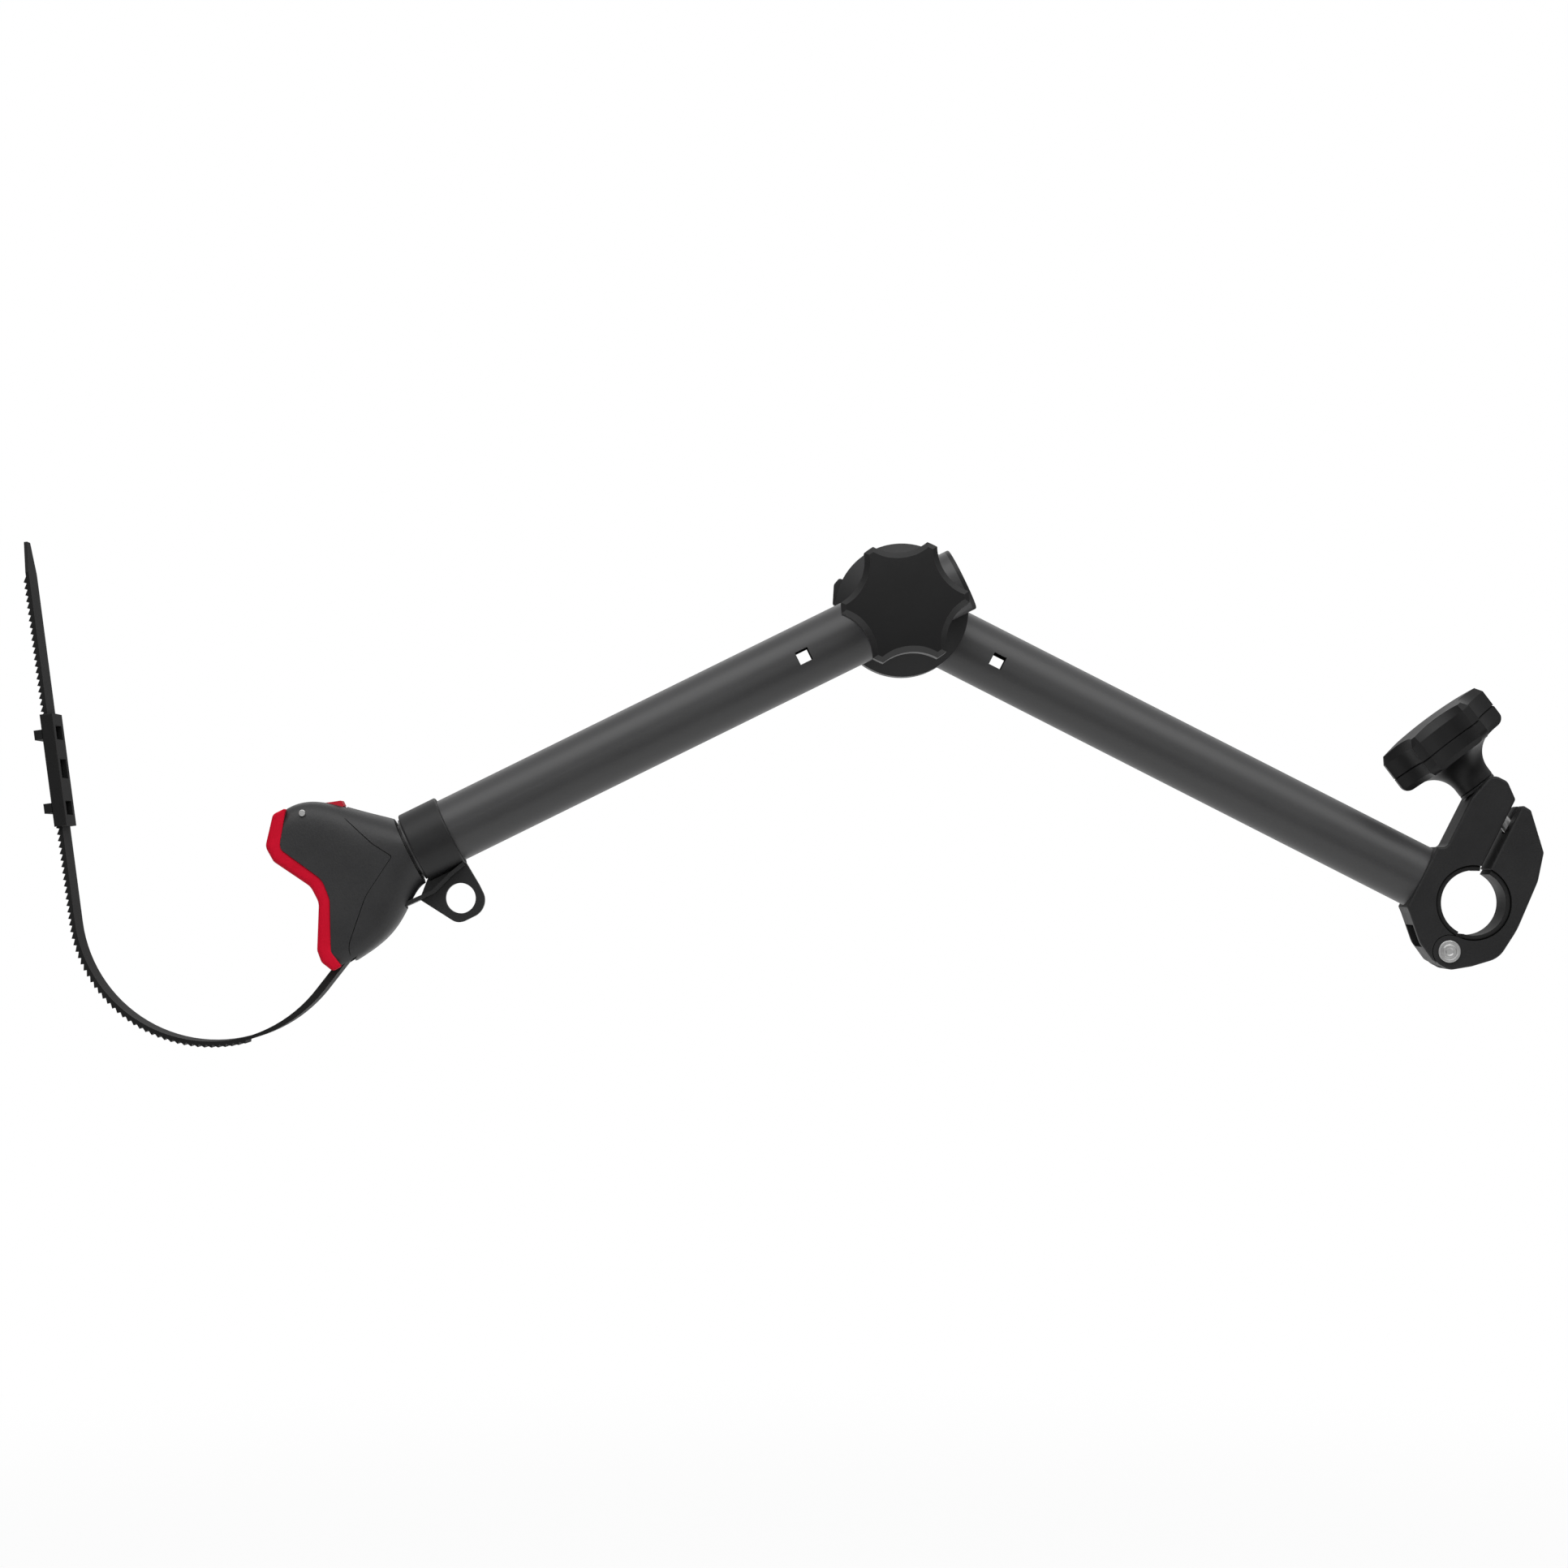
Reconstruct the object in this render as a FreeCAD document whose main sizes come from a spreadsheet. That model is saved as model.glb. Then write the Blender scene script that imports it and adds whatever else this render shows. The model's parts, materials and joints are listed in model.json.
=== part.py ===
import FreeCAD, Part
import Sketcher
import math
import os
import re

from FreeCAD import Placement, Rotation, Vector

# Frame-holder arm of a bicycle carrier: a rail clamp, two tubes on a knob-locked joint and
# a padded head with a ratchet strap. Millimetres. Origin at the centre of the clamp's bore,
# +Y along the bore and away from the knobs' side, +Z up.

SIZES = {
    # rail clamp
    "rail_radius": 15.2,
    "liner_wall": 2.4,
    "liner_length": 30.0,
    "jaw_depth": 32.0,
    "jaw_edge": 1.3,
    "split_left": 4.4,
    "split_right": 0.4,
    "liner_fixed_span": 163.0,
    "liner_moving_span": 169.0,
    "hinge_pin_radius": 3.0,
    "hinge_drop": 10.2,
    "knuckle_radius": 7.6,
    "tongue_half": 7.7,
    "spigot_length": 30.0,
    "tube_joint": 11.8,
    # tubes
    "tube_radius": 15.0,
    "tube_wall": 2.0,
    "inner_length": 300.0,
    "outer_length": 253.4,
    "inner_tilt": 27.0,
    "outer_tilt": 26.2,
    "tube_overrun": 31.0,
    "inner_overrun": 25.0,
    "plug_face": 2.0,
    "plug_depth": 8.0,
    "square_hole": 6.2,
    "square_place": 50.8,
    # centre joint
    "web": 4.0,
    "saddle_radius": 31.0,
    "saddle_depth": 15.0,
    "saddle_dish": 8.0,
    "bolt_radius": 3.0,
    "seat_radius": 12.0,
    "seat_crest": 2.8,
    "rear_seat_crest": 2.5,
    "bolt_head_radius": 7.0,
    "bolt_head_height": 3.4,
    # star knobs
    "knob_radius": 29.0,
    "knob_valley": 22.5,
    "knob_tip": 5.0,
    "cap_straight": 8.0,
    "cap_chamfer": 3.5,
    "cap_dome": 1.8,
    "cap_flat": 1.5,
    "knob_groove": 0.7,
    "base_height": 9.0,
    "neck_length": 25.5,
    "neck_radius": 9.3,
    "neck_flare": 13.0,
    "insert_radius": 5.5,
    "insert_length": 12.0,
    "seat_washer": 1.5,
    # clamp bolt
    "trunnion_p": 10.6,
    "trunnion_rise": 19.9,
    "trunnion_radius": 4.0,
    "trunnion_length": 15.0,
    "bolt_lean": 64.1,
    "fork_floor": 34.5,
    # grip head
    "head_width": 35.0,
    "head_wall": 3.0,
    "neck_wall": 1.5,
    "collar_wall": 2.0,
    "collar_length": 19.0,
    "collar_edge": 0.9,
    "joint_line": 0.4,
    "pad_width": 34.0,
    "eyelet_radius": 7.0,
    "eyelet_wall": 3.3,
    "lug_depth": 6.0,
    "lever_width": 13.0,
    "lever_pin_radius": 1.5,
    "lever_pin_along": 35.7,
    "lever_pin_across": 36.8,
    # ratchet strap
    "strap_width": 24.0,
    "strap_base": 1.5,
    "strap_tooth": 1.4,
    "tooth_pitch": 3.0,
    "strap_lead": 37.0,
    "lead_swell": 0.85,
    "strap_bend": 63.0,
    "strap_turn": 134.3,
    "strap_straight": 177.3,
    "strap_exit": 25.8,
    "strap_taper": 7.5,
    "taper_length": 14.6,
    "anchor_along": 31.0,
    "anchor_v": -23.4,
    "anchor_pin_radius": 2.0,
    "keeper_length": 52.0,
    "keeper_width": 30.0,
    "keeper_from_tip": 80.5,
    "keeper_back": 2.2,
    "keeper_bar": 3.6,
    # clearances
    "slip": 0.1,
    "running_gap": 0.3,
}

doc = FreeCAD.newDocument("frame_holder_arm")
sheet = doc.addObject("Spreadsheet::Sheet", "Sizes")
for row, (alias, value) in enumerate(SIZES.items(), start=1):
    sheet.set("A%d" % row, alias)
    sheet.set("B%d" % row, str(value))
    sheet.setAlias("B%d" % row, alias)
doc.recompute()

parts = []  # every sub-part, in the order it is made


def val(expression):
    """The value of a formula of the sheet's aliases."""
    return float(sheet.evalExpression(expression))


def bound(expression):
    """The same formula, written for an object outside the sheet."""
    return re.sub(r"[a-z_]{3,}", lambda word: "Sizes." + word.group(0), expression)


# ---------------------------------------------------------------- frames


def about_y(degrees):
    return Rotation(Vector(0, 1, 0), degrees)


# clamp frame: local x runs from the joint through the bore, local z along the jaw's split
CLAMP = Placement(Vector(0, 0, 0), about_y(val("inner_tilt")))
# inner joint frame: the same directions, at the joint's axis on the inner tube
INNER = CLAMP * Placement(Vector(-val("inner_length"), 0, 0), Rotation())
# outer arm frame: local x runs from the joint to the head, local y towards the knobs
TUBE_SPACING = val("2 * (tube_radius + web)")
OUTER = Placement(
    INNER.Base - Vector(0, TUBE_SPACING, 0),
    about_y(-val("outer_tilt")) * Rotation(Vector(0, 0, 1), 180),
)
# clamp bolt frame: local z runs along the bolt to the knob, origin in the trunnion
BOLT = CLAMP * Placement(
    Vector(val("trunnion_p"), 0, val("rail_radius + trunnion_rise")), about_y(-val("bolt_lean"))
)
# pivot knob frame: local z runs to the knobs' side, origin at the knob's split plane
PIVOT_SPLIT = val("tube_radius + seat_crest + neck_length + slip")
PIVOT_KNOB = Placement(
    INNER.Base - Vector(0, TUBE_SPACING + PIVOT_SPLIT, 0),
    Rotation(Vector(1, 0, 0), 90) * Rotation(Vector(0, 0, 1), 5),
)
CLAMP_SPLIT = val("fork_floor + slip + seat_washer + neck_length")
CLAMP_KNOB = BOLT * Placement(Vector(0, 0, CLAMP_SPLIT), Rotation(Vector(0, 0, 1), 0))


# ---------------------------------------------------------------- PartDesign helpers


def new_body(label, frame):
    body = doc.addObject("PartDesign::Body", label)
    body.Label = label
    body.Placement = frame
    parts.append(body)
    return body


def origin_item(body, role):
    return [item for item in body.Origin.OriginFeatures if item.Role == role][0]


def new_sketch(body, role, offset=None):
    """A sketch on one of the body's own origin planes, moved along its normal by a formula."""
    sketch = body.newObject("Sketcher::SketchObject", body.Label + "_sketch")
    sketch.AttachmentSupport = [(origin_item(body, role), "")]
    sketch.MapMode = "FlatFace"
    if offset is not None:
        sketch.setExpression(".AttachmentOffset.Base.z", bound(offset))
    return sketch


def circle(sketch, across, up, radius):
    """A circle whose centre and radius are formulas."""
    place = Vector(val(across), val(up), 0)
    edge = sketch.addGeometry(Part.Circle(place, Vector(0, 0, 1), val(radius)))
    for kind, formula in (("DistanceX", across), ("DistanceY", up)):
        index = sketch.addConstraint(Sketcher.Constraint(kind, edge, 3, val(formula)))
        sketch.setExpression("Constraints[%d]" % index, bound(formula))
    index = sketch.addConstraint(Sketcher.Constraint("Radius", edge, val(radius)))
    sketch.setExpression("Constraints[%d]" % index, bound(radius))


def rectangle(sketch, left, right, low, high):
    """A rectangle whose four sides are formulas."""
    x0, x1, z0, z1 = val(left), val(right), val(low), val(high)
    corners = [Vector(x0, z0, 0), Vector(x1, z0, 0), Vector(x1, z1, 0), Vector(x0, z1, 0)]
    for corner, following in zip(corners, corners[1:] + corners[:1]):
        sketch.addGeometry(Part.LineSegment(corner, following))
    for edge in range(4):
        sketch.addConstraint(Sketcher.Constraint("Coincident", edge, 2, (edge + 1) % 4, 1))
    for edge, kind in ((0, "Horizontal"), (1, "Vertical"), (2, "Horizontal"), (3, "Vertical")):
        sketch.addConstraint(Sketcher.Constraint(kind, edge))
    sides = (("DistanceX", 0, 1, left), ("DistanceX", 1, 1, right))
    sides += (("DistanceY", 0, 1, low), ("DistanceY", 2, 1, high))
    for kind, edge, end, formula in sides:
        index = sketch.addConstraint(Sketcher.Constraint(kind, edge, end, val(formula)))
        sketch.setExpression("Constraints[%d]" % index, bound(formula))


def rounded_edges(corners):
    """Edges of a closed outline of (x, z, radius) corners, round stretches as arcs."""
    count = len(corners)
    starts, ends, middles = [], [], []
    for index in range(count):
        x, z, radius = corners[index]
        here = Vector(x, z, 0)
        back = Vector(corners[index - 1][0], corners[index - 1][1], 0) - here
        ahead = Vector(corners[(index + 1) % count][0], corners[(index + 1) % count][1], 0) - here
        back.normalize()
        ahead.normalize()
        half = math.acos(max(-1.0, min(1.0, back.dot(ahead)))) / 2
        if radius <= 0:
            starts.append(here)
            ends.append(here)
            middles.append(None)
            continue
        reach = radius / math.tan(half)
        inward = back + ahead
        inward.normalize()
        starts.append(here + back * reach)
        ends.append(here + ahead * reach)
        middles.append(here + inward * (radius / math.sin(half) - radius))
    edges = []
    for index in range(count):
        if middles[index] is not None:
            edges.append(Part.Arc(starts[index], middles[index], ends[index]))
        following = (index + 1) % count
        if (starts[following] - ends[index]).Length > 1e-6:
            edges.append(Part.LineSegment(ends[index], starts[following]))
    return edges


def outline(sketch, corners):
    """A closed rounded outline, each edge held in its place."""
    for edge in rounded_edges(corners):
        index = sketch.addGeometry(edge)
        sketch.addConstraint(Sketcher.Constraint("Block", index))


def pad(body, sketch, length, midplane=False, backwards=False):
    feature = body.newObject("PartDesign::Pad", body.Label + "_pad")
    feature.Profile = (sketch, [""])
    feature.SideType = "Symmetric" if midplane else "One side"
    feature.Reversed = backwards
    feature.setExpression("Length", bound(length))
    return feature


def cut(body, sketch, length, midplane=False, backwards=False):
    feature = body.newObject("PartDesign::Pocket", body.Label + "_cut")
    feature.Profile = (sketch, [""])
    feature.SideType = "Symmetric" if midplane else "One side"
    feature.Reversed = backwards
    feature.setExpression("Length", bound(length))
    return feature


def ease_ends(body, solid, radius, direction=Vector(0, 1, 0)):
    """Rounds the outer edges of a padded solid's two flat ends, which face along direction."""
    doc.recompute()
    ends = []
    for index, face in enumerate(solid.Shape.Faces, start=1):
        if face.Surface.TypeId == "Part::GeomPlane":
            if abs(face.normalAt(0, 0).dot(direction)) > 0.999:
                ends.append("Face%d" % index)
    feature = body.newObject("PartDesign::Fillet", body.Label + "_eased")
    feature.Base = (solid, ends)
    feature.setExpression("Radius", bound(radius))
    return feature


def spin(body, sketch, role="Z_Axis", kind="PartDesign::Revolution", degrees=360.0):
    feature = body.newObject(kind, body.Label + "_turned")
    feature.Profile = (sketch, [""])
    feature.ReferenceAxis = (origin_item(body, role), [""])
    feature.Angle = degrees
    return feature


def turned(label, frame, corners):
    """A body turned about its own z axis from a profile of (radius, height, round) corners."""
    body = new_body(label, frame)
    sketch = new_sketch(body, "XZ_Plane")
    outline(sketch, corners)
    spin(body, sketch)
    return body


def along(frame, x=0.0, y=0.0, z=0.0, rotation=None):
    return frame * Placement(Vector(x, y, z), rotation or Rotation())


FACE_Y = Rotation(Vector(1, 0, 0), 90)  # turns a body's z axis to -y
FACE_X = Rotation(Vector(0, 1, 0), 90)  # turns a body's z axis to +x

# ---------------------------------------------------------------- rail clamp


def hinge_place():
    return 0.0, -val("rail_radius + hinge_drop")


def on_bolt(distance, aside):
    """A point of the clamp frame, at a distance along the bolt and aside towards the split."""
    lean = math.radians(val("bolt_lean"))
    x = val("trunnion_p") - distance * math.sin(lean) + aside * math.cos(lean)
    z = val("rail_radius + trunnion_rise") + distance * math.cos(lean) + aside * math.sin(lean)
    return x, z


def seat_bore(body):
    sketch = new_sketch(body, "XZ_Plane")
    circle(sketch, "0", "0", "rail_radius + liner_wall + slip / 2")
    cut(body, sketch, "jaw_depth * 2", midplane=True)


def hinge_hole(body, radius):
    sketch = new_sketch(body, "XZ_Plane")
    circle(sketch, "0", "-(rail_radius + hinge_drop)", radius)
    cut(body, sketch, "jaw_depth * 2", midplane=True)


def make_clamp_body():
    """Cast fixed jaw: bore, forked lobe for the knob's neck, hinge tongue and tube spigot."""
    body = new_body("clamp_body", CLAMP)
    rail = val("rail_radius")
    face = -val("split_left")
    joint = -val("rail_radius + tube_joint")
    tube = val("tube_radius")
    hinge_x, hinge_z = hinge_place()
    sketch = new_sketch(body, "XZ_Plane")
    corners = [
        (face, 0, 0),
        (face, rail + 36.8, 1.5),
        (-11.5, rail + 42.6, 4),
        (-19.6, rail + 42.6, 5),
        (-rail - 8.0, rail + 28.0, 10),
        (-rail - 8.0, tube + 2.5, 3),
        (joint, tube + 0.6, 0),
        (joint, -tube - 0.8, 1),
        (-rail - 9.4, -tube - 2.8, 3),
        (-rail + 1.2, hinge_z - 2.6, 8),
        (-5.0, hinge_z - val("knuckle_radius") + 0.4, 3),
        (hinge_x, hinge_z - val("knuckle_radius - slip"), 0),
        (hinge_x, 0, 0),
    ]
    outline(sketch, corners)
    ease_ends(body, pad(body, sketch, "jaw_depth", midplane=True), "jaw_edge")
    flank_pocket(body)
    tongue = new_sketch(body, "XZ_Plane")
    circle(tongue, "0", "-(rail_radius + hinge_drop)", "knuckle_radius - slip")
    pad(body, tongue, "2 * tongue_half", midplane=True)
    for backwards in (False, True):
        relief = new_sketch(body, "XZ_Plane", "-tongue_half" if backwards else "tongue_half")
        circle(relief, "0", "-(rail_radius + hinge_drop)", "knuckle_radius + running_gap")
        cut(body, relief, "jaw_depth", backwards=not backwards)
    seat_bore(body)
    hinge_hole(body, "hinge_pin_radius + slip / 2")
    fork_slot(body)
    bolt_slot(body)
    spigot = new_sketch(body, "YZ_Plane", "-(rail_radius + tube_joint)")
    circle(spigot, "0", "0", "tube_radius - tube_wall - slip")
    pad(body, spigot, "spigot_length", backwards=True)
    return body


def flank_pocket(body):
    """Shallow pocket that lightens the casting's lower flank, left of the hinge."""
    rail = val("rail_radius")
    top, bottom = (-rail - 5.2, -rail - 6.8), (-rail + 3.2, -rail - 14.2)
    in_x, in_z = 2.0, 2.2
    corners = [
        (top[0] + in_x, top[1] + in_z, 1),
        (top[0] - in_x, top[1] - in_z, 0),
        (bottom[0] - in_x, bottom[1] - in_z, 0),
        (bottom[0] + in_x, bottom[1] + in_z, 1),
    ]
    sketch = new_sketch(body, "XZ_Plane")
    outline(sketch, corners)
    cut(body, sketch, "jaw_depth - 8", midplane=True)


def fork_slot(body):
    """Slot between the cheeks, its floor a cylinder about the trunnion so the bolt can swing."""
    floor = val("fork_floor")
    centre = Vector(val("trunnion_p"), val("rail_radius + trunnion_rise"), 0)
    first, last = math.radians(100), math.radians(172)

    def at(radius, angle):
        return centre + Vector(radius * math.cos(angle), radius * math.sin(angle), 0)

    far = floor * 2
    sketch = new_sketch(body, "XZ_Plane")
    middle = (first + last) / 2
    edges = [
        Part.Arc(at(floor, first), at(floor, middle), at(floor, last)),
        Part.LineSegment(at(floor, last), at(far, last)),
        Part.LineSegment(at(far, last), at(far, first)),
        Part.LineSegment(at(far, first), at(floor, first)),
    ]
    for edge in edges:
        sketch.addConstraint(Sketcher.Constraint("Block", sketch.addGeometry(edge)))
    cut(body, sketch, "2 * (neck_radius + 0.7)", midplane=True)


def bolt_slot(body):
    """Slot for the bolt's shank, open on the side it swings out to."""
    side = val("bolt_radius") + 1.2
    sketch = new_sketch(body, "XZ_Plane")
    corners = [on_bolt(0, -side), on_bolt(70, -side), on_bolt(70, 60), on_bolt(0, 60)]
    outline(sketch, [(x, z, 0) for x, z in corners])
    cut(body, sketch, "2 * (bolt_radius + 0.8)", midplane=True)


def make_clamp_jaw():
    """Hinged jaw: two knuckles about the hinge pin and a slotted lobe for the trunnion."""
    body = new_body("clamp_jaw", CLAMP)
    rail = val("rail_radius")
    face = -val("split_right")
    hinge_x, hinge_z = hinge_place()
    sketch = new_sketch(body, "XZ_Plane")
    corners = [
        (face, 0, 0),
        (face, rail + 36.0, 1.2),
        (4.3, rail + 35.6, 2),
        (18.6, rail + 20.6, 2),
        (rail + 7.0, rail + 7.4, 12),
        (rail + 8.6, -2.0, 40),
        (rail + 7.0, -rail - 2.4, 12),
        (rail - 2.6, -rail - 11.6, 10),
        (4.0, hinge_z - val("knuckle_radius") - 0.2, 6),
        (hinge_x, hinge_z - val("knuckle_radius"), 0),
        (hinge_x, 0, 0),
    ]
    outline(sketch, corners)
    ease_ends(body, pad(body, sketch, "jaw_depth", midplane=True), "jaw_edge")
    knuckle = new_sketch(body, "XZ_Plane")
    circle(knuckle, "0", "-(rail_radius + hinge_drop)", "knuckle_radius")
    pad(body, knuckle, "jaw_depth", midplane=True)
    gap = new_sketch(body, "XZ_Plane")
    circle(gap, "0", "-(rail_radius + hinge_drop)", "knuckle_radius + running_gap")
    cut(body, gap, "2 * (tongue_half + running_gap)", midplane=True)
    seat_bore(body)
    hinge_hole(body, "hinge_pin_radius + slip")
    socket = new_sketch(body, "XZ_Plane", "trunnion_length / 2 + slip")
    circle(socket, "trunnion_p", "rail_radius + trunnion_rise", "trunnion_radius + slip")
    cut(body, socket, "jaw_depth")
    slot = new_sketch(body, "XZ_Plane")
    side = val("bolt_radius") + 0.8
    x, z = val("trunnion_p"), val("rail_radius + trunnion_rise")
    corners = [on_bolt(0, -side), on_bolt(40, -side), (-20, z + 40), (x + 14, z + 40), (x + side, z)]
    outline(slot, [(p[0], p[1], 0) for p in corners])
    cut(body, slot, "2 * (bolt_radius + 0.8)", midplane=True)
    return body


def make_hinge_pin():
    """Rivet through the hinge, with a stepped round head on each side."""
    hinge_x, hinge_z = hinge_place()
    frame = along(CLAMP, hinge_x, 0, hinge_z, FACE_Y)
    half = val("jaw_depth / 2 + slip")
    shank = val("hinge_pin_radius")
    corners = [
        (0, -half - 1.4, 0),
        (3.2, -half - 1.4, 0.3),
        (3.2, -half - 0.9, 0),
        (5.2, -half - 0.9, 0.4),
        (5.2, -half, 0),
        (shank, -half, 0),
        (shank, half, 0),
        (5.2, half, 0),
        (5.2, half + 0.9, 0.4),
        (3.2, half + 0.9, 0),
        (3.2, half + 1.4, 0.3),
        (1.9, half + 1.4, 0),
        (1.7, half + 1.1, 0),
        (0, half + 1.1, 0),
    ]
    turned("clamp_hinge_pin", frame, corners)


def make_liner(label, world_middle, span):
    """Half ring that grips the rail, turned through part of a circle about the bore."""
    start = -world_middle + val(span) / 2
    body = new_body(label, Placement(Vector(0, 0, 0), about_y(start) * Rotation(Vector(1, 0, 0), 90)))
    sketch = new_sketch(body, "XZ_Plane")
    rectangle(sketch, "rail_radius", "rail_radius + liner_wall", "-liner_length / 2", "liner_length / 2")
    spin(body, sketch, "Z_Axis", degrees=val(span))
    return body


def make_clamp_bolt():
    shank = val("bolt_radius")
    end = CLAMP_SPLIT - 1.0
    corners = [(0, -2.5, 0), (shank, -2.5, 0.5), (shank, end, 0.6), (0, end, 0)]
    turned("clamp_bolt", BOLT, corners)
    body = new_body("clamp_trunnion", BOLT)
    sketch = new_sketch(body, "XZ_Plane")
    circle(sketch, "0", "0", "trunnion_radius")
    pad(body, sketch, "trunnion_length", midplane=True)
    hole = new_sketch(body, "XY_Plane", "-2.5 - slip")
    circle(hole, "0", "0", "bolt_radius + slip / 2")
    cut(body, hole, "4 * trunnion_radius", backwards=True)


def ring(label, frame, inside, outside, low, high, ease=0.3):
    turned(label, frame, [(inside, low, 0), (outside, low, ease), (outside, high, ease), (inside, high, 0)])


# ---------------------------------------------------------------- star knobs


def scallops(body, profile):
    """Six concave cuts round a knob, each turned about an axis beside it."""
    radius, valley = val("knob_radius"), val("knob_valley")
    corner_angle = math.radians(30) - math.asin(val("knob_tip") / 2 / radius)
    across = radius * math.cos(corner_angle)
    axis_x = (radius * radius - valley * valley) / (2 * (across - valley))
    bite = axis_x - valley
    sketch = new_sketch(body, "XZ_Plane")
    outline(sketch, [(axis_x - (bite + extra if extra is not None else 0), z, 0) for extra, z in profile])
    line = sketch.addGeometry(Part.LineSegment(Vector(axis_x, -60, 0), Vector(axis_x, 60, 0)), True)
    sketch.addConstraint(Sketcher.Constraint("Block", line))
    groove = body.newObject("PartDesign::Groove", body.Label + "_scallop")
    groove.Profile = (sketch, [""])
    groove.ReferenceAxis = (sketch, ["Axis0"])
    groove.Angle = 360
    pattern = body.newObject("PartDesign::PolarPattern", body.Label + "_scallops")
    pattern.Originals = [groove]
    pattern.Axis = (origin_item(body, "Z_Axis"), [""])
    pattern.Angle = 360
    pattern.Occurrences = 6
    body.Tip = pattern


def make_knob(prefix, frame):
    """Star knob in two mouldings with a brass insert: lobes every 60 degrees from 0."""
    radius = val("knob_radius")
    straight = val("cap_straight")
    shoulder = straight + val("cap_chamfer")
    top = shoulder + val("cap_dome")
    height = val("base_height")
    neck, foot = val("neck_radius"), -val("neck_length")
    hole = val("bolt_radius") + val("running_gap")
    turn = along(frame, rotation=Rotation(Vector(0, 0, 1), 30))
    cap = new_body(prefix + "_knob_cap", turn)
    sketch = new_sketch(cap, "XZ_Plane")
    rim = radius - 2.2
    rise = top - shoulder
    sphere = (rim * rim + rise * rise) / (2 * rise)
    first, last = math.asin(val("cap_flat") / sphere), math.asin(rim / sphere)

    def dome(angle):
        return Vector(sphere * math.sin(angle), top - sphere * (1 - math.cos(angle)), 0)

    crown = dome(first)
    edges = [
        Part.LineSegment(Vector(0, 0, 0), Vector(radius, 0, 0)),
        Part.LineSegment(Vector(radius, 0, 0), Vector(radius, straight, 0)),
        Part.LineSegment(Vector(radius, straight, 0), Vector(rim, shoulder, 0)),
        Part.Arc(Vector(rim, shoulder, 0), dome((first + last) / 2), crown),
        Part.LineSegment(crown, Vector(0, crown.y, 0)),
        Part.LineSegment(Vector(0, crown.y, 0), Vector(0, 0, 0)),
    ]
    for edge in edges:
        sketch.addConstraint(Sketcher.Constraint("Block", sketch.addGeometry(edge)))
    spin(cap, sketch)
    scallops(cap, [(None, -1), (0, -1), (0, straight), (2.6, shoulder + 0.6), (2.6, 20), (None, 20)])

    base = new_body(prefix + "_knob_base", turn)
    sketch = new_sketch(base, "XZ_Plane")
    insert = val("insert_radius + slip / 2")
    face, groove = -0.05, val("knob_groove")
    corners = [
        (insert, face, 0),
        (radius - groove, face, 0),
        (radius, face - groove, 0),
        (radius, -height, 4),
        (neck, -height, val("neck_flare")),
        (neck, foot, 0.6),
        (hole, foot, 0),
        (hole, -val("insert_length") - 0.1, 0),
        (insert, -val("insert_length") - 0.1, 0),
    ]
    outline(sketch, corners)
    spin(base, sketch)
    split = [(None, 1), (groove, 1), (groove, face), (0, face - groove)]
    scallops(base, split + [(0, 2.5 - height), (2.0, -height - 1.2), (None, -height - 1.2)])
    ring(
        prefix + "_knob_insert",
        turn,
        val("bolt_radius + slip"),
        val("insert_radius"),
        -val("insert_length"),
        -0.15,
        0.2,
    )


# ---------------------------------------------------------------- tubes and centre joint


def make_tube(label, frame, start, end, square_at):
    """Round tube along local x, with a square cross hole and the joint bolt's round one."""
    body = new_body(label, frame)
    sketch = new_sketch(body, "YZ_Plane", start)
    circle(sketch, "0", "0", "tube_radius")
    circle(sketch, "0", "0", "tube_radius - tube_wall")
    pad(body, sketch, "(%s) - (%s)" % (end, start))
    square = new_sketch(body, "XZ_Plane")
    rectangle(
        square,
        "%s - square_hole / 2" % square_at,
        "%s + square_hole / 2" % square_at,
        "-square_hole / 2",
        "square_hole / 2",
    )
    cut(body, square, "4 * tube_radius", midplane=True)
    hole = new_sketch(body, "XZ_Plane")
    circle(hole, "0", "0", "bolt_radius + running_gap")
    cut(body, hole, "4 * tube_radius", midplane=True)
    return body


def make_plug(label, frame):
    """Push-in cap of a tube's free end: local z points out of the tube."""
    bore = val("tube_radius - tube_wall - slip")
    face = val("plug_face")
    deep = -val("plug_depth")
    outer = val("tube_radius")
    wall, floor = 2.0, -1.0
    corners = [
        (0, floor, 0),
        (bore - wall, floor, 0),
        (bore - wall, deep, 0),
        (bore, deep, 0.4),
        (bore, 0, 0),
        (outer, 0, 0),
        (outer, face, 0.8),
        (0, face, 0),
    ]
    turned(label, frame, corners)


def make_saddle(label, frame):
    """Round saddle disc between the tubes: dished rim, a groove for its tube, a flat face."""
    body = new_body(label, frame)
    sketch = new_sketch(body, "XZ_Plane", "web + tube_radius - saddle_depth")
    circle(sketch, "0", "0", "saddle_radius")
    pad(body, sketch, "saddle_depth - slip")
    back = val("saddle_depth - web - tube_radius")
    inner, outer = val("tube_radius") + 2.0, val("saddle_radius") + 2.0
    dish = new_sketch(body, "XY_Plane")
    outline(
        dish,
        [(inner, back + 1, 0), (outer, back + 1, 0), (outer, back - val("saddle_dish"), 0), (inner, back, 0)],
    )
    spin(body, dish, "Y_Axis", "PartDesign::Groove")
    groove = new_sketch(body, "YZ_Plane")
    circle(groove, "0", "0", "tube_radius + slip / 2")
    cut(body, groove, "3 * saddle_radius", midplane=True)
    hole = new_sketch(body, "XZ_Plane")
    circle(hole, "0", "0", "bolt_radius + running_gap")
    cut(body, hole, "4 * tube_radius", midplane=True)
    return body


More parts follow.
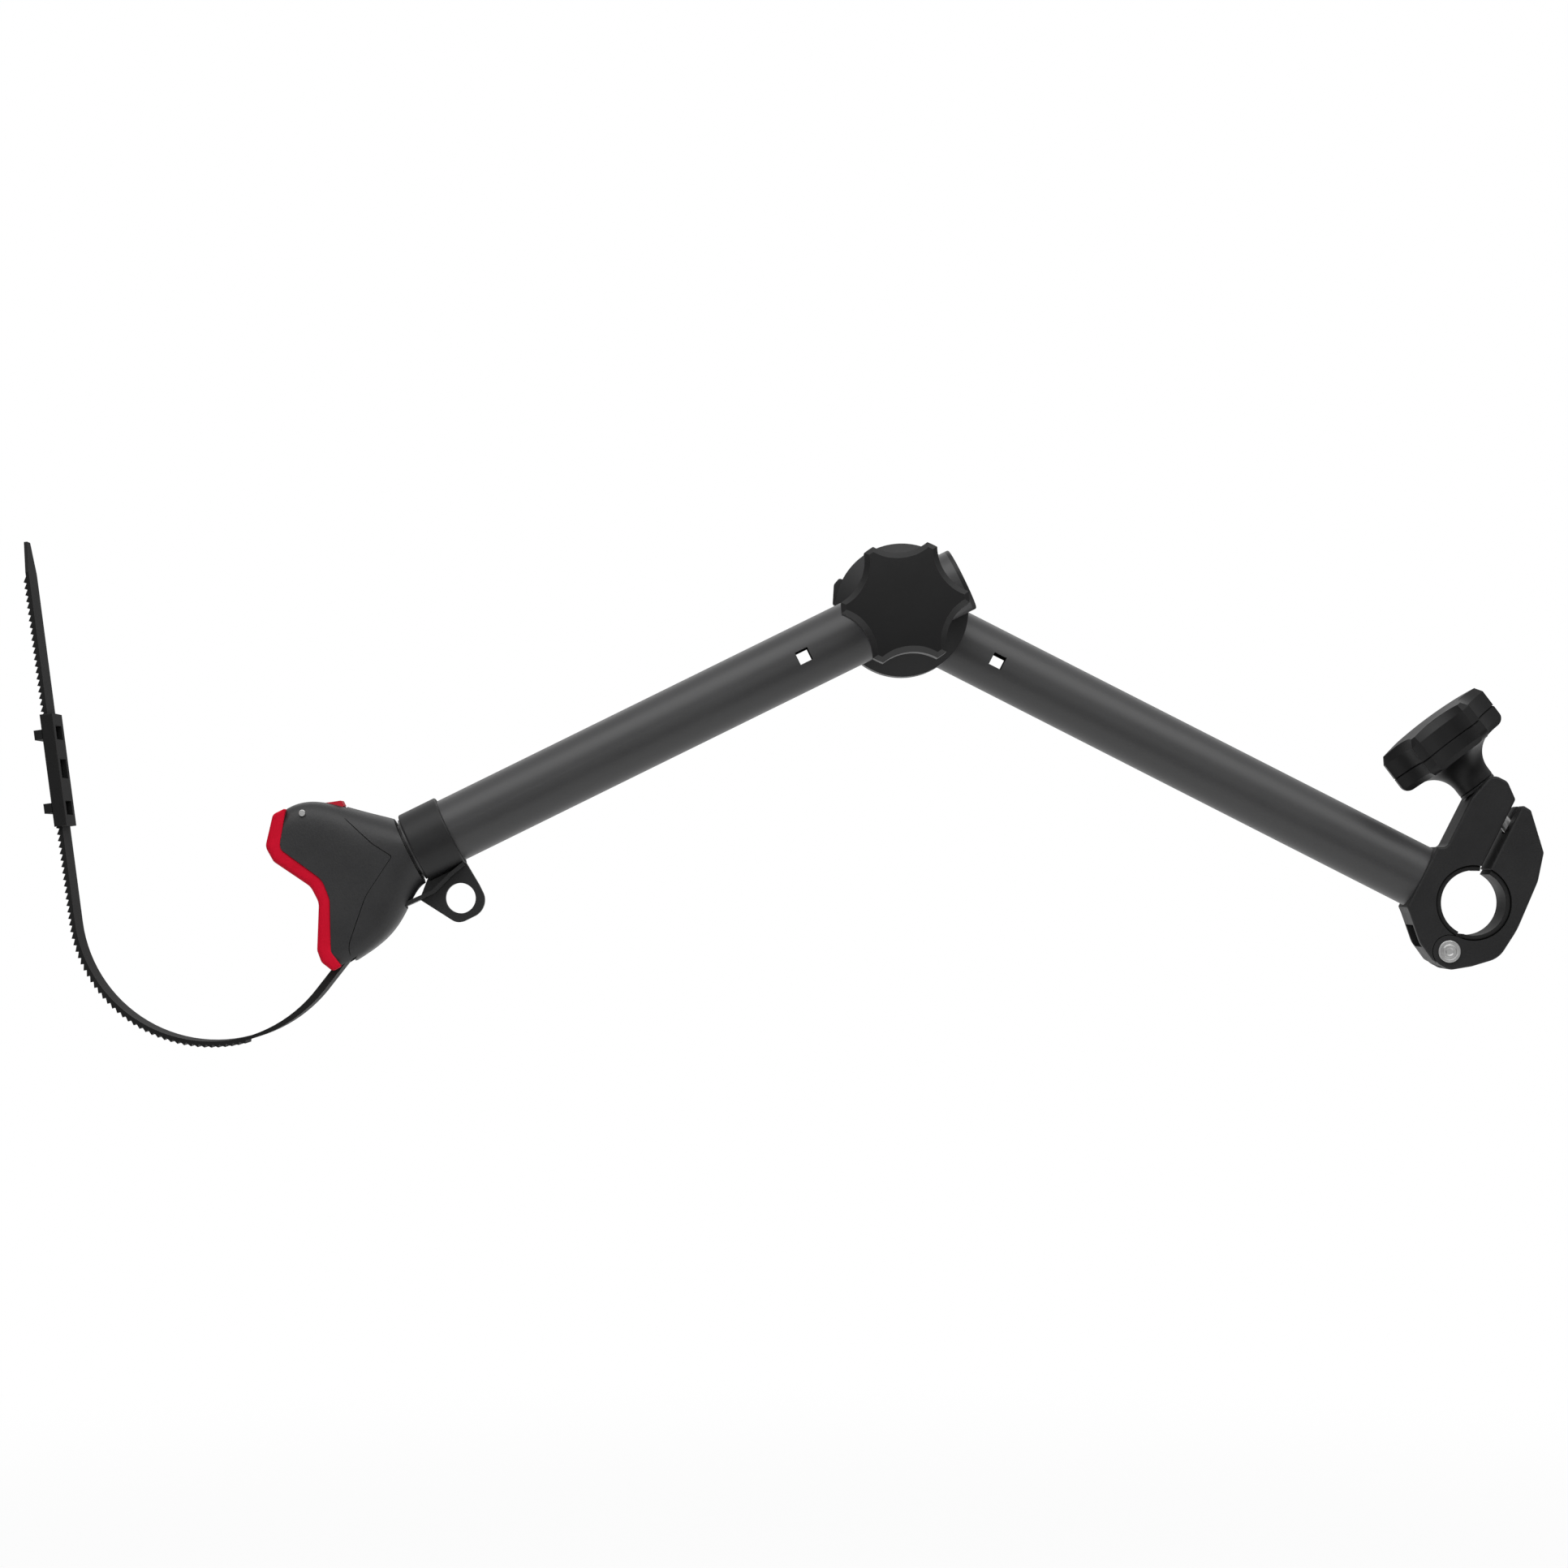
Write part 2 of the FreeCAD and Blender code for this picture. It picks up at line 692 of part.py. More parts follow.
def make_seat(label, frame, crest, direction):
    """Saddle washer that gives the bolt's head or the knob a flat seat on a round tube."""
    body = new_body(label, frame)
    sketch = new_sketch(body, "XZ_Plane", "tube_radius - 4" if direction > 0 else "-(tube_radius - 4)")
    circle(sketch, "0", "0", "seat_radius")
    pad(body, sketch, "4 + " + crest, backwards=direction < 0)
    groove = new_sketch(body, "YZ_Plane")
    circle(groove, "0", "0", "tube_radius + slip / 2")
    cut(body, groove, "3 * saddle_radius", midplane=True)
    hole = new_sketch(body, "XZ_Plane")
    circle(hole, "0", "0", "bolt_radius + running_gap")
    cut(body, hole, "4 * (tube_radius + 4)", midplane=True)
    return body


def make_pivot_bolt():
    """Round-headed bolt through both tubes, head on the far side."""
    head = val("tube_radius + rear_seat_crest + slip")
    end = -(TUBE_SPACING + PIVOT_SPLIT - 1.0)
    shank, wide = val("bolt_radius"), val("bolt_head_radius")
    high = val("bolt_head_height")
    corners = [
        (0, end, 0),
        (shank, end, 0.6),
        (shank, head, 0),
        (wide, head, 0),
        (wide, head + 1.0, 0.4),
        (wide * 0.55, head + high, 3),
        (0, head + high, 0),
    ]
    turned("pivot_bolt", along(INNER, rotation=Rotation(Vector(1, 0, 0), -90)), corners)


# ---------------------------------------------------------------- grip head


def section(u, top, bottom, half, power):
    """Closed section of the head at u: a superellipse from bottom to top, half wide each way."""
    count = 40
    middle, tall = (top + bottom) / 2, (top - bottom) / 2
    points = []
    for step in range(count):
        angle = 2 * math.pi * step / count
        c, s = math.cos(angle), math.sin(angle)
        reach = (abs(c) ** power + abs(s) ** power) ** (-1 / power)
        points.append(Vector(u, half * c * reach, middle + tall * s * reach))
    curve = Part.BSplineCurve()
    curve.interpolate(points, PeriodicFlag=True)
    return Part.Wire([curve.toShape()])


def block(corners, low, high):
    """A rounded outline in the x-z plane, carried from y = low to y = high."""
    edges = [edge.toShape() for edge in rounded_edges(corners)]
    face = Part.Face(Part.Wire(edges))
    face.rotate(Vector(0, 0, 0), Vector(1, 0, 0), 90)
    face.translate(Vector(0, low, 0))
    return face.extrude(Vector(0, high - low, 0))


def cross_pin(x, z, radius, low, high):
    return Part.makeCylinder(radius, high - low, Vector(x, low, z), Vector(0, 1, 0))


def shape_part(label, frame, shape):
    feature = doc.addObject("Part::Feature", label)
    feature.Label = label
    feature.Shape = shape
    feature.Placement = frame
    parts.append(feature)
    return feature


def pad_corners():
    """Outline of the soft grip pad: a V with rounded lobes, outer side then inner side."""
    near, far = val("outer_length") + 48.6, val("outer_length") + 57.8
    back = val("outer_length") + 41.0
    return [
        (near - 7.2, 42.2, 0),
        (near - 0.4, 42.2, 3),
        (far, 30.4, 5),
        (far - 0.4, 22.6, 4),
        (near - 1.4, 4.8, 8),
        (near - 1.6, -3.4, 8),
        (far - 0.4, -22.8, 5),
        (far + 0.2, -28.6, 4),
        (near + 6.4, -34.6, 2),
        (near + 1.8, -34.2, 0),
        (near + 3.2, -26.4, 3),
        (back + 0.6, -4.5, 10),
        (back - 0.2, 5.2, 10),
        (near + 3.2, 26.2, 3),
        (near + 2.0, 29.0, 3),
    ]


def head_solid():
    """Outer form of the head before it is hollowed: round neck swelling into two lobes."""
    start = val("outer_length")
    neck = val("tube_radius + neck_wall")
    half = val("head_width / 2")
    sections = [
        section(start + 0.2, neck, -neck, neck, 2.0),
        section(start + 8.0, neck + 6.6, -neck - 3.4, neck + 0.4, 2.4),
        section(start + 20.0, neck + 17.0, -neck - 11.8, half, 3.2),
        section(start + 31.0, neck + 24.0, -neck - 16.0, half, 4.5),
        section(start + 44.0, neck + 25.4, -neck - 18.0, half, 5.5),
        section(start + 58.0, neck + 24.0, -neck - 18.5, half, 5.5),
    ]
    solid = Part.makeLoft(sections, True, False)
    grip = block(pad_corners(), -half * 2, half * 2)
    mouth_x = start + 46.0
    mouth = block(
        [
            (mouth_x, 6, 0),
            (mouth_x + 8.0, 20, 0),
            (mouth_x + 12.0, 60, 0),
            (mouth_x + 40.0, 60, 0),
            (mouth_x + 40.0, -60, 0),
            (mouth_x + 6.0, -60, 0),
            (mouth_x + 8.0, -20, 0),
            (mouth_x, -4, 0),
        ],
        -half * 2,
        half * 2,
    )
    return solid.cut(grip).cut(mouth)


def cavity():
    """Room inside the head for the strap's anchor and the release lever."""
    start = val("outer_length")
    half = val("head_width / 2 - head_wall")
    corners = [
        (start + 17.0, 10.0, 2),
        (start + 22.0, 25.0, 2),
        (start + 33.0, 36.0, 2),
        (start + 40.0, 38.0, 1),
        (start + 49.0, 27.0, 1),
        (start + 38.5, 9.0, 3),
        (start + 37.0, -3.0, 3),
        (start + 49.0, -27.0, 1),
        (start + 33.0, -26.0, 2),
        (start + 17.0, -14.0, 2),
    ]
    return block(corners, -half, half)


def strap_window(extra):
    """Wedge that the strap passes and swings in, from its anchor pin out of the lower lobe."""
    u, v = val("outer_length + anchor_along"), val("anchor_v")
    exit_angle = math.radians(-val("strap_exit"))
    swing = math.radians(7.0)
    reach = 40.0
    corners = []
    for angle, aside in ((exit_angle + swing, 1), (exit_angle - swing, -1)):
        normal = Vector(-math.sin(angle), math.cos(angle), 0) * (aside * (val("strap_base") + extra))
        far = Vector(u, v, 0) + Vector(math.cos(angle), math.sin(angle), 0) * reach + normal
        near = Vector(u, v, 0) + normal
        corners.append((near, far) if aside > 0 else (far, near))
    points = [corners[0][0], corners[0][1], corners[1][0], corners[1][1]]
    wide = val("strap_width") / 2 + 0.5
    wedge = block([(p.x, p.y, 0) for p in points], -wide, wide)
    return wedge.fuse(cross_pin(u, v, val("anchor_pin_radius") + 3.2, -wide, wide))


def cover_region(back):
    """The side cover's area on the knobs' side, its curved joint line moved back by a distance."""
    start = val("outer_length") - back
    half = val("head_width") / 2
    corners = [
        (start + 20.8, 60.0, 0),
        (start + 20.4, 28.0, 20),
        (start + 13.3, 10.0, 20),
        (start + 7.7, 0.8, 1),
        (start + 26.6, -10.3, 25),
        (start + 44.8, -28.4, 12),
        (start + 46.8, -60.0, 0),
        (start + 90.0, -60.0, 0),
        (start + 90.0, 60.0, 0),
    ]
    return block(corners, half - val("head_wall"), half + 5)


def make_head():
    solid = head_solid()
    start = val("outer_length")
    lever_x, lever_z = start + val("lever_pin_along"), val("lever_pin_across")
    half = val("head_width") / 2
    slot_half = val("lever_width") / 2 + 0.4
    slot = block(
        [
            (start + 16.9, 27.0, 0),
            (start + 16.9, 60.0, 0),
            (start + 41.0, 60.0, 0),
            (start + 41.0, 27.0, 0),
        ],
        -slot_half,
        slot_half,
    )
    tongue_half = val("lug_depth") * 1.3 + 0.1
    tongue_top = -val("tube_radius + collar_wall") - 3.2
    tongue_slot = block(
        [
            (start + 3.0, tongue_top, 0),
            (start + 12.8, tongue_top, 0),
            (start + 12.8, tongue_top - 9.8, 0),
            (start + 3.0, tongue_top - 9.8, 0),
        ],
        -tongue_half,
        tongue_half,
    )
    hollow = solid.cut(cavity()).cut(slot).cut(tongue_slot).cut(strap_window(0.6))
    pin_hole = cross_pin(lever_x, lever_z, val("lever_pin_radius + slip / 2"), -half * 2, half * 2)
    reach = half - val("head_wall") + 1.0
    anchor_radius = val("anchor_pin_radius + slip / 2")
    anchor = cross_pin(start + val("anchor_along"), val("anchor_v"), anchor_radius, -reach, reach)
    hollow = hollow.cut(pin_hole).cut(anchor)
    cover = hollow.common(cover_region(0.0))
    housing = hollow.cut(cover_region(val("joint_line")))
    spigot = val("tube_radius - tube_wall - slip")
    neck = Part.makeCylinder(spigot, 30.0, Vector(start - 28.0, 0, 0), Vector(1, 0, 0))
    neck = neck.cut(Part.makeCylinder(spigot - 2.5, 40.0, Vector(start - 30.0, 0, 0), Vector(1, 0, 0)))
    housing = largest(housing.fuse(neck).removeSplitter())
    shape_part("head_housing", OUTER, housing)
    shape_part("head_cover", OUTER, largest(cover))


def largest(shape):
    """The biggest solid of a result; chips that a cut leaves behind are dropped."""
    return sorted(shape.Solids, key=lambda solid: solid.Volume)[-1]


def make_pad():
    half = val("pad_width") / 2
    solid = block(pad_corners(), -half, half)
    solid = solid.cut(strap_window(0.6))
    shape_part("grip_pad", OUTER, largest(solid))


def make_lever():
    """Release lever: pin boss, thumb tab at the neck's side, pawl towards the strap's path."""
    start = val("outer_length")
    pin_x, pin_z = start + val("lever_pin_along"), val("lever_pin_across")
    half = val("lever_width") / 2
    corners = [
        (pin_x + 3.0, pin_z + 2.4, 1),
        (pin_x - 4.0, pin_z + 2.4, 2),
        (start + 22.0, 35.9, 1),
        (start + 17.9, 34.6, 0.6),
        (start + 17.9, 31.6, 0.6),
        (start + 24.0, 31.8, 2),
        (pin_x - 4.0, pin_z - 2.8, 1),
        (pin_x + 2.0, pin_z - 5.0, 0.4),
        (pin_x + 3.0, pin_z - 0.4, 1),
    ]
    solid = block(corners, -half, half)
    hole = cross_pin(pin_x, pin_z, val("lever_pin_radius + slip"), -half * 2, half * 2)
    shape_part("release_lever", OUTER, solid.cut(hole))
    ends = val("head_width") / 2 - 0.4
    frame = along(OUTER, pin_x, 0, pin_z, FACE_Y)
    radius = val("lever_pin_radius")
    turned("lever_pin", frame, [(0, -ends, 0), (radius, -ends, 0.3), (radius, ends, 0.3), (0, ends, 0)])
    reach = val("head_width / 2 - head_wall") + 0.9
    frame = along(OUTER, start + val("anchor_along"), 0, val("anchor_v"), FACE_Y)
    radius = val("anchor_pin_radius")
    turned("strap_anchor_pin", frame, [(0, -reach, 0), (radius, -reach, 0.3), (radius, reach, 0.3), (0, reach, 0)])


def make_collar():
    """Clamping collar on the tube's end with its lock lug and the tongue into the head."""
    body = new_body("collar", OUTER)
    sketch = new_sketch(body, "YZ_Plane", "outer_length - 2 - collar_length")
    circle(sketch, "0", "0", "tube_radius + collar_wall")
    ease_ends(body, pad(body, sketch, "collar_length"), "collar_edge", Vector(1, 0, 0))
    start, outer = val("outer_length"), val("tube_radius + collar_wall")
    hole = val("eyelet_radius")
    ear = hole + val("eyelet_wall")
    centre_x, centre_z = start - 11.4, -outer - 13.0
    lug = new_sketch(body, "XZ_Plane")
    corners = [
        (start - 20.5, -outer + 4.0, 0),
        (centre_x - ear, centre_z + 2, 4),
        (centre_x - ear, centre_z - ear, ear * 0.8),
        (centre_x + ear * 0.6, centre_z - ear, 6),
        (start + 5.8, -outer - 5.2, 1),
        (start - 2.0, -outer + 2.0, 0),
    ]
    outline(lug, corners)
    pad(body, lug, "lug_depth", midplane=True)
    tongue = new_sketch(body, "XZ_Plane")
    corners = [
        (start - 20.0, -outer + 1.5, 0),
        (start - 12.0, -outer - 0.4, 2),
        (start - 1.6, -outer - 4.0, 2),
        (start + 12.6, -outer - 3.4, 0),
        (start + 12.6, -outer - 5.4, 0),
        (start - 2.2, -outer - 5.8, 2),
        (start - 12.2, -outer - 2.2, 2),
        (start - 20.0, -outer - 0.4, 0),
    ]
    outline(tongue, corners)
    pad(body, tongue, "lug_depth * 2.6", midplane=True)
    bore = new_sketch(body, "YZ_Plane", "outer_length - 2 - collar_length - 1")
    circle(bore, "0", "0", "tube_radius + slip / 2")
    cut(body, bore, "collar_length + 20", backwards=True)
    eyelet = new_sketch(body, "XZ_Plane")
    circle(eyelet, "outer_length - 11.4", "-(tube_radius + collar_wall + 13)", "eyelet_radius")
    cut(body, eyelet, "lug_depth * 4", midplane=True)
    return body


# ---------------------------------------------------------------- ratchet strap


def strap_point(distance, offset):
    """A point of the outer arm frame, at a distance along the strap and offset outwards."""
    lead, bend, straight = val("strap_lead"), val("strap_bend"), val("strap_straight")
    turn = math.radians(val("strap_turn"))
    angle = math.radians(-val("strap_exit"))
    here = Vector(val("outer_length + anchor_along"), 0, val("anchor_v"))
    arc = bend * turn

    def heading(a):
        return Vector(math.cos(a), 0, math.sin(a))

    def outward(a):
        return Vector(math.sin(a), 0, -math.cos(a))

    here = here - outward(angle) * (val("strap_base") / 2)
    if distance <= lead:
        return here + heading(angle) * distance + outward(angle) * offset
    here = here + heading(angle) * lead
    centre = here - outward(angle) * bend
    if distance <= lead + arc:
        now = angle + (distance - lead) / bend
        return centre + outward(now) * (bend + offset)
    now = angle + turn
    rest = distance - lead - arc
    return centre + outward(now) * (bend + offset) + heading(now) * rest


def make_strap():
    """Toothed strap: a plain lead from the anchor eye, a bend and a straight free end."""
    base, tooth, pitch = val("strap_base"), val("strap_tooth"), val("tooth_pitch")
    lead, bend = val("strap_lead"), val("strap_bend")
    arc = bend * math.radians(val("strap_turn"))
    total = lead + arc + val("strap_straight")
    half = val("strap_width") / 2
    toothed_from = lead + arc * 0.28
    count = int((total - 14.0 - toothed_from) / pitch)
    swell = val("lead_swell")
    middle, beyond = (lead + toothed_from) / 2, (toothed_from + lead + arc) / 2
    edges = [
        Part.LineSegment(strap_point(0, -swell), strap_point(lead, -swell)),
        Part.Arc(strap_point(lead, -swell), strap_point(middle, -swell / 2), strap_point(toothed_from, 0)),
        Part.Arc(strap_point(toothed_from, 0), strap_point(beyond, 0), strap_point(lead + arc, 0)),
        Part.LineSegment(strap_point(lead + arc, 0), strap_point(total, 0)),
        Part.LineSegment(strap_point(total, 0), strap_point(total, base)),
        Part.LineSegment(strap_point(total, base), strap_point(toothed_from + count * pitch, base)),
    ]
    for step in range(count, 0, -1):
        high = strap_point(toothed_from + (step - 1) * pitch + 0.5, base + tooth)
        low = strap_point(toothed_from + (step - 1) * pitch, base)
        edges.append(Part.LineSegment(strap_point(toothed_from + step * pitch, base), high))
        edges.append(Part.LineSegment(high, low))
    thick = base + swell
    edges.append(
        Part.Arc(strap_point(toothed_from, base), strap_point(middle, base + swell / 2), strap_point(lead, thick))
    )
    edges.append(Part.LineSegment(strap_point(lead, thick), strap_point(0, thick)))
    edges.append(Part.LineSegment(strap_point(0, thick), strap_point(0, -swell)))
    face = Part.Face(Part.Wire([edge.toShape() for edge in edges]))
    strip = face.extrude(Vector(0, 2 * half, 0))
    strip.translate(Vector(0, -half, 0))
    u, v = val("outer_length + anchor_along"), val("anchor_v")
    eye = cross_pin(u, v, val("anchor_pin_radius") + 2.2, -half, half)
    strip = strip.fuse(eye).cut(cross_pin(u, v, val("anchor_pin_radius + slip"), -half * 2, half * 2))
    strip = largest(strip.removeSplitter())
    taper, reach, over = val("strap_taper"), val("taper_length"), 5.0
    narrow = taper * (reach + over) / reach
    for side in (-1, 1):
        corners = [
            strap_point(total - reach, -over) + Vector(0, side * half, 0),
            strap_point(total + over, -over) + Vector(0, side * (half - narrow), 0),
            strap_point(total + over, -over) + Vector(0, side * (half + over), 0),
            strap_point(total - reach, -over) + Vector(0, side * (half + over), 0),
        ]
        wedge = Part.Face(Part.makePolygon(corners + corners[:1]))
        strip = strip.cut(wedge.extrude(strap_point(total, over) - strap_point(total, -over)))
    shape_part("ratchet_strap", OUTER, largest(strip))


def make_keeper():
    """Keeper on the strap's straight end: back plate, two side rails, two bars over the teeth."""
    arc = val("strap_bend") * math.radians(val("strap_turn"))
    total = val("strap_lead") + arc + val("strap_straight")
    top = total - val("keeper_from_tip")
    origin = strap_point(top, 0)
    ahead = strap_point(top + 1, 0) - origin
    out = strap_point(top, 1) - origin
    tilt = Rotation(ahead, Vector(0, -1, 0), out, "XYZ")
    frame = OUTER * Placement(origin, tilt)
    body = new_body("strap_keeper", frame)
    sketch = new_sketch(body, "XY_Plane", "-(keeper_back + running_gap)")
    rectangle(sketch, "-keeper_length", "0", "-keeper_width / 2", "keeper_width / 2")
    high = "strap_base + strap_tooth + running_gap"
    block_high = pad(body, sketch, "keeper_back + running_gap + " + high)
    ease_ends(body, block_high, "0.6")
    channel = new_sketch(body, "YZ_Plane")
    side = "strap_width / 2 + running_gap"
    rectangle(channel, "-(%s)" % side, side, "-running_gap", high + " + 2 * running_gap")
    cut(body, channel, "4 * keeper_length", midplane=True)
    for near, far in (("-11.5", "-7"), ("-45.5", "-41")):
        bar = new_sketch(body, "XY_Plane", high)
        rectangle(bar, near, far, "-keeper_width / 2", "keeper_width / 2")
        pad(body, bar, "keeper_bar")
    for near, far in (("-12", "-5.5"), ("-30", "-21"), ("-47", "-40.5")):
        window = new_sketch(body, "XY_Plane")
        rectangle(window, near, far, "-keeper_width / 3.4", "keeper_width / 3.4")
        cut(body, window, "10")
    return body


# ---------------------------------------------------------------- build

make_clamp_body()
make_clamp_jaw()
make_hinge_pin()
make_liner("liner_fixed", 160.5, "liner_fixed_span")
make_liner("liner_moving", 336.5, "liner_moving_span")
make_clamp_bolt()
FLOOR = val("fork_floor + slip")
ring("clamp_seat_washer", BOLT, val("bolt_radius + slip"), val("neck_radius"), FLOOR, FLOOR + val("seat_washer"))
make_knob("clamp", CLAMP_KNOB)
make_tube("inner_tube", INNER, "-(inner_overrun - plug_face)", "inner_length - rail_radius - tube_joint", "square_place")
make_plug("inner_tube_plug", along(INNER, -val("inner_overrun - plug_face"), rotation=FACE_X.inverted()))
make_saddle("rear_saddle", INNER)
make_seat("bolt_seat", INNER, "rear_seat_crest", -1)
make_pivot_bolt()
make_saddle("front_saddle", OUTER)
make_tube("outer_tube", OUTER, "-(tube_overrun - plug_face)", "outer_length - 1", "square_place")
make_plug("outer_tube_plug", along(OUTER, -val("tube_overrun - plug_face"), rotation=FACE_X.inverted()))
make_seat("knob_seat", OUTER, "seat_crest", -1)
make_knob("pivot", PIVOT_KNOB)
make_collar()
make_head()
make_pad()
make_lever()
make_strap()
make_keeper()

doc.recompute()
problems = []
for item in doc.Objects:
    if "Invalid" in item.State or "Error" in item.State:
        problems.append("%s: %s" % (item.Label, item.State))
for piece in parts:
    if piece.Shape.isNull() or not piece.Shape.isValid() or not piece.Shape.Solids:
        problems.append("%s has no valid solid" % piece.Label)
if problems:
    raise RuntimeError("; ".join(problems))

os.makedirs("parts", exist_ok=True)
for piece in parts:
    piece.Shape.exportStep(os.path.join("parts", piece.Label + ".step"))
    box = piece.Shape.BoundBox
    line = "%-20s solids %d  volume %9.1f  x %7.1f..%7.1f  y %6.1f..%6.1f  z %6.1f..%6.1f"
    spans = (box.XMin, box.XMax, box.YMin, box.YMax, box.ZMin, box.ZMax)
    print(line % ((piece.Label, len(piece.Shape.Solids), piece.Shape.Volume) + spans))
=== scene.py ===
# %% [markdown]
# # A frame-holder arm of a bicycle carrier
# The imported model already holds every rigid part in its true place. This file lights it, gives
# each part its finish, and builds the parts whose softness or fine detail the solid model only
# outlines: the red rubber grip, the clamp's liners, a tab on the rear saddle and the jaw's rivet.

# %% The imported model
import json
import math

import bmesh
import bpy
import numpy as np
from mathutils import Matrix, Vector


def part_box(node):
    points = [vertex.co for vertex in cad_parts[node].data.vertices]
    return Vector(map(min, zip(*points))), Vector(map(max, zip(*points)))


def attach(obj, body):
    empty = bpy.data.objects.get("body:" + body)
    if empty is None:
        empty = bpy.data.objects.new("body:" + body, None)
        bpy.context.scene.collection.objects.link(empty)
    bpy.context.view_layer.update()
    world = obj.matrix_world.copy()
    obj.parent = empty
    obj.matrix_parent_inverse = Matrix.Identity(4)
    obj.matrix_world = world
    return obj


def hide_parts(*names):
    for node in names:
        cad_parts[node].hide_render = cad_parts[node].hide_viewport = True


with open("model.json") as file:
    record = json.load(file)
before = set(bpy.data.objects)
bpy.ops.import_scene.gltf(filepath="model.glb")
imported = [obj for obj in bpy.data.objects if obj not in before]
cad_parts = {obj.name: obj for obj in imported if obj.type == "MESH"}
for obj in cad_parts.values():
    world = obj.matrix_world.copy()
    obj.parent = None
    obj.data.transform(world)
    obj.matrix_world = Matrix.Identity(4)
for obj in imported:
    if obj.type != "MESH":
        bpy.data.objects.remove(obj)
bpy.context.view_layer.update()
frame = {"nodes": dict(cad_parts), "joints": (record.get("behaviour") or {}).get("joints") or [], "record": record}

# %% [markdown]
# ## Where things are
# The arm folds about one axis, which the record gives. The outer tube starts there and runs to
# the grip head, tilted down, so the grip is easiest to write in that tube's own directions:
# along it, across it in the arm's plane, and out towards the knobs.

# %% The outer arm's own directions
MM = 0.001
joints = {joint["name"]: joint for joint in frame["joints"]}
fold_x, _, fold_z = joints["arm_fold"]["pos_m"]
outer_low, outer_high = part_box("outer_tube")
ARM_START = np.array([fold_x, (outer_low.y + outer_high.y) / 2, fold_z])
OUTER_TILT = math.radians(26.2)
ARM_ALONG = np.array([-math.cos(OUTER_TILT), 0, -math.sin(OUTER_TILT)])
ARM_ACROSS = np.array([-math.sin(OUTER_TILT), 0, math.cos(OUTER_TILT)])
ARM_OUT = np.array([0, -1.0, 0])


def on_arm(along, across, out):
    """Points of the model, in metres, from millimetres along, across and out of the arm: the
    arm's start, plus each distance times its direction."""
    along, across, out = np.broadcast_arrays(along, across, out)
    grid = np.stack([along, across, out], -1) * MM
    return ARM_START + grid @ np.stack([ARM_ALONG, ARM_ACROSS, ARM_OUT])


print("outer arm starts at", ARM_START.round(4))

# %% [markdown]
# ## Camera
# A long lens shows near and far parts at nearly one scale, so the two tubes stay nearly
# parallel-sided. A camera with no perspective would do that too, but it would lose the slight
# view into the clamp's bore. It stands on the knobs' side and looks up by one degree.

# %% Camera
camera_data = bpy.data.cameras.new("camera")
camera_data.sensor_width = 36.0
camera_data.lens = 104.96
camera_data.clip_end = 50.0
camera = bpy.data.objects.new("camera", camera_data)
camera.location = (-0.3220, -2.150, 0.0180)
camera.rotation_euler = (math.radians(91.008), 0, 0)
bpy.context.scene.collection.objects.link(camera)
bpy.context.scene.camera = camera
bpy.context.scene.view_settings.view_transform = "Standard"
print("camera lens, mm:", camera_data.lens)

# %% [markdown]
# ## Light
# Black parts are drawn by what they mirror. Small lamps would leave hard spots, so each lamp is
# a wide soft box. One above and in front gives the broad sheen on top of the tubes, and one
# behind edges the knobs. A weak low box in front keeps the flat black faces from closing up.

# %% Soft boxes
CENTRE = Vector((-0.32, -0.03, 0.05))


def soft_box(name, place, across, high, watts):
    """A rectangular area lamp that faces the middle of the arm."""
    data = bpy.data.lights.new(name, "AREA")
    data.shape = "RECTANGLE"
    data.size, data.size_y = across, high
    data.energy = watts
    lamp = bpy.data.objects.new(name, data)
    lamp.location = place
    lamp.rotation_euler = (CENTRE - Vector(place)).to_track_quat("-Z", "Y").to_euler()
    bpy.context.scene.collection.objects.link(lamp)


soft_box("box_above", (-0.30, -0.85, 1.20), 2.4, 1.1, 15.0)
soft_box("box_behind", (-0.30, 1.7, 1.3), 2.2, 1.2, 6.0)
soft_box("box_front", (-0.30, -2.6, 0.15), 1.6, 0.5, 3.0)
print("lamps:", len(bpy.data.lights))


# %% [markdown]
# ## Helpers for shader nodes
# The room, the floor and the finishes are all trees of nodes. Made one by one, their lines would
# hide what a tree does, so three short functions make a node, a range and a sum.

# %% Node helpers
def add_node(tree, kind, settings=None, **inputs):
    """One shader node; settings are its properties, inputs its unlinked sockets."""
    made = tree.nodes.new(kind)
    for name, value in (settings or {}).items():
        setattr(made, name, value)
    for name, value in inputs.items():
        made.inputs[name.replace("_", " ")].default_value = value
    return made


def map_range(tree, source, from_low, from_high, to_low, to_high, smooth=False):
    """Carries a value from one range to another, and stops at its ends."""
    kind = "SMOOTHSTEP" if smooth else "LINEAR"
    made = add_node(tree, "ShaderNodeMapRange", {"interpolation_type": kind})
    for index, value in enumerate((from_low, from_high, to_low, to_high), start=1):
        made.inputs[index].default_value = value
    tree.links.new(source, made.inputs[0])
    return made.outputs[0]


def maths(tree, operation, first, second):
    """A Math node of two sources, each a socket or a number."""
    made = add_node(tree, "ShaderNodeMath", {"operation": operation})
    for index, source in enumerate((first, second)):
        if hasattr(source, "is_linked"):
            tree.links.new(source, made.inputs[index])
        else:
            made.inputs[index].default_value = source
    return made.outputs[0]


# %% [markdown]
# ## Surroundings
# The room is dim at eye level and brightens upward, as a studio with lit walls does, and mirrors
# never see it darker than a set level. A panorama of a studio could stand in, but a ramp over
# height needs no file. Rays straight from the camera always see plain white, so the background
# stays clean from every side.

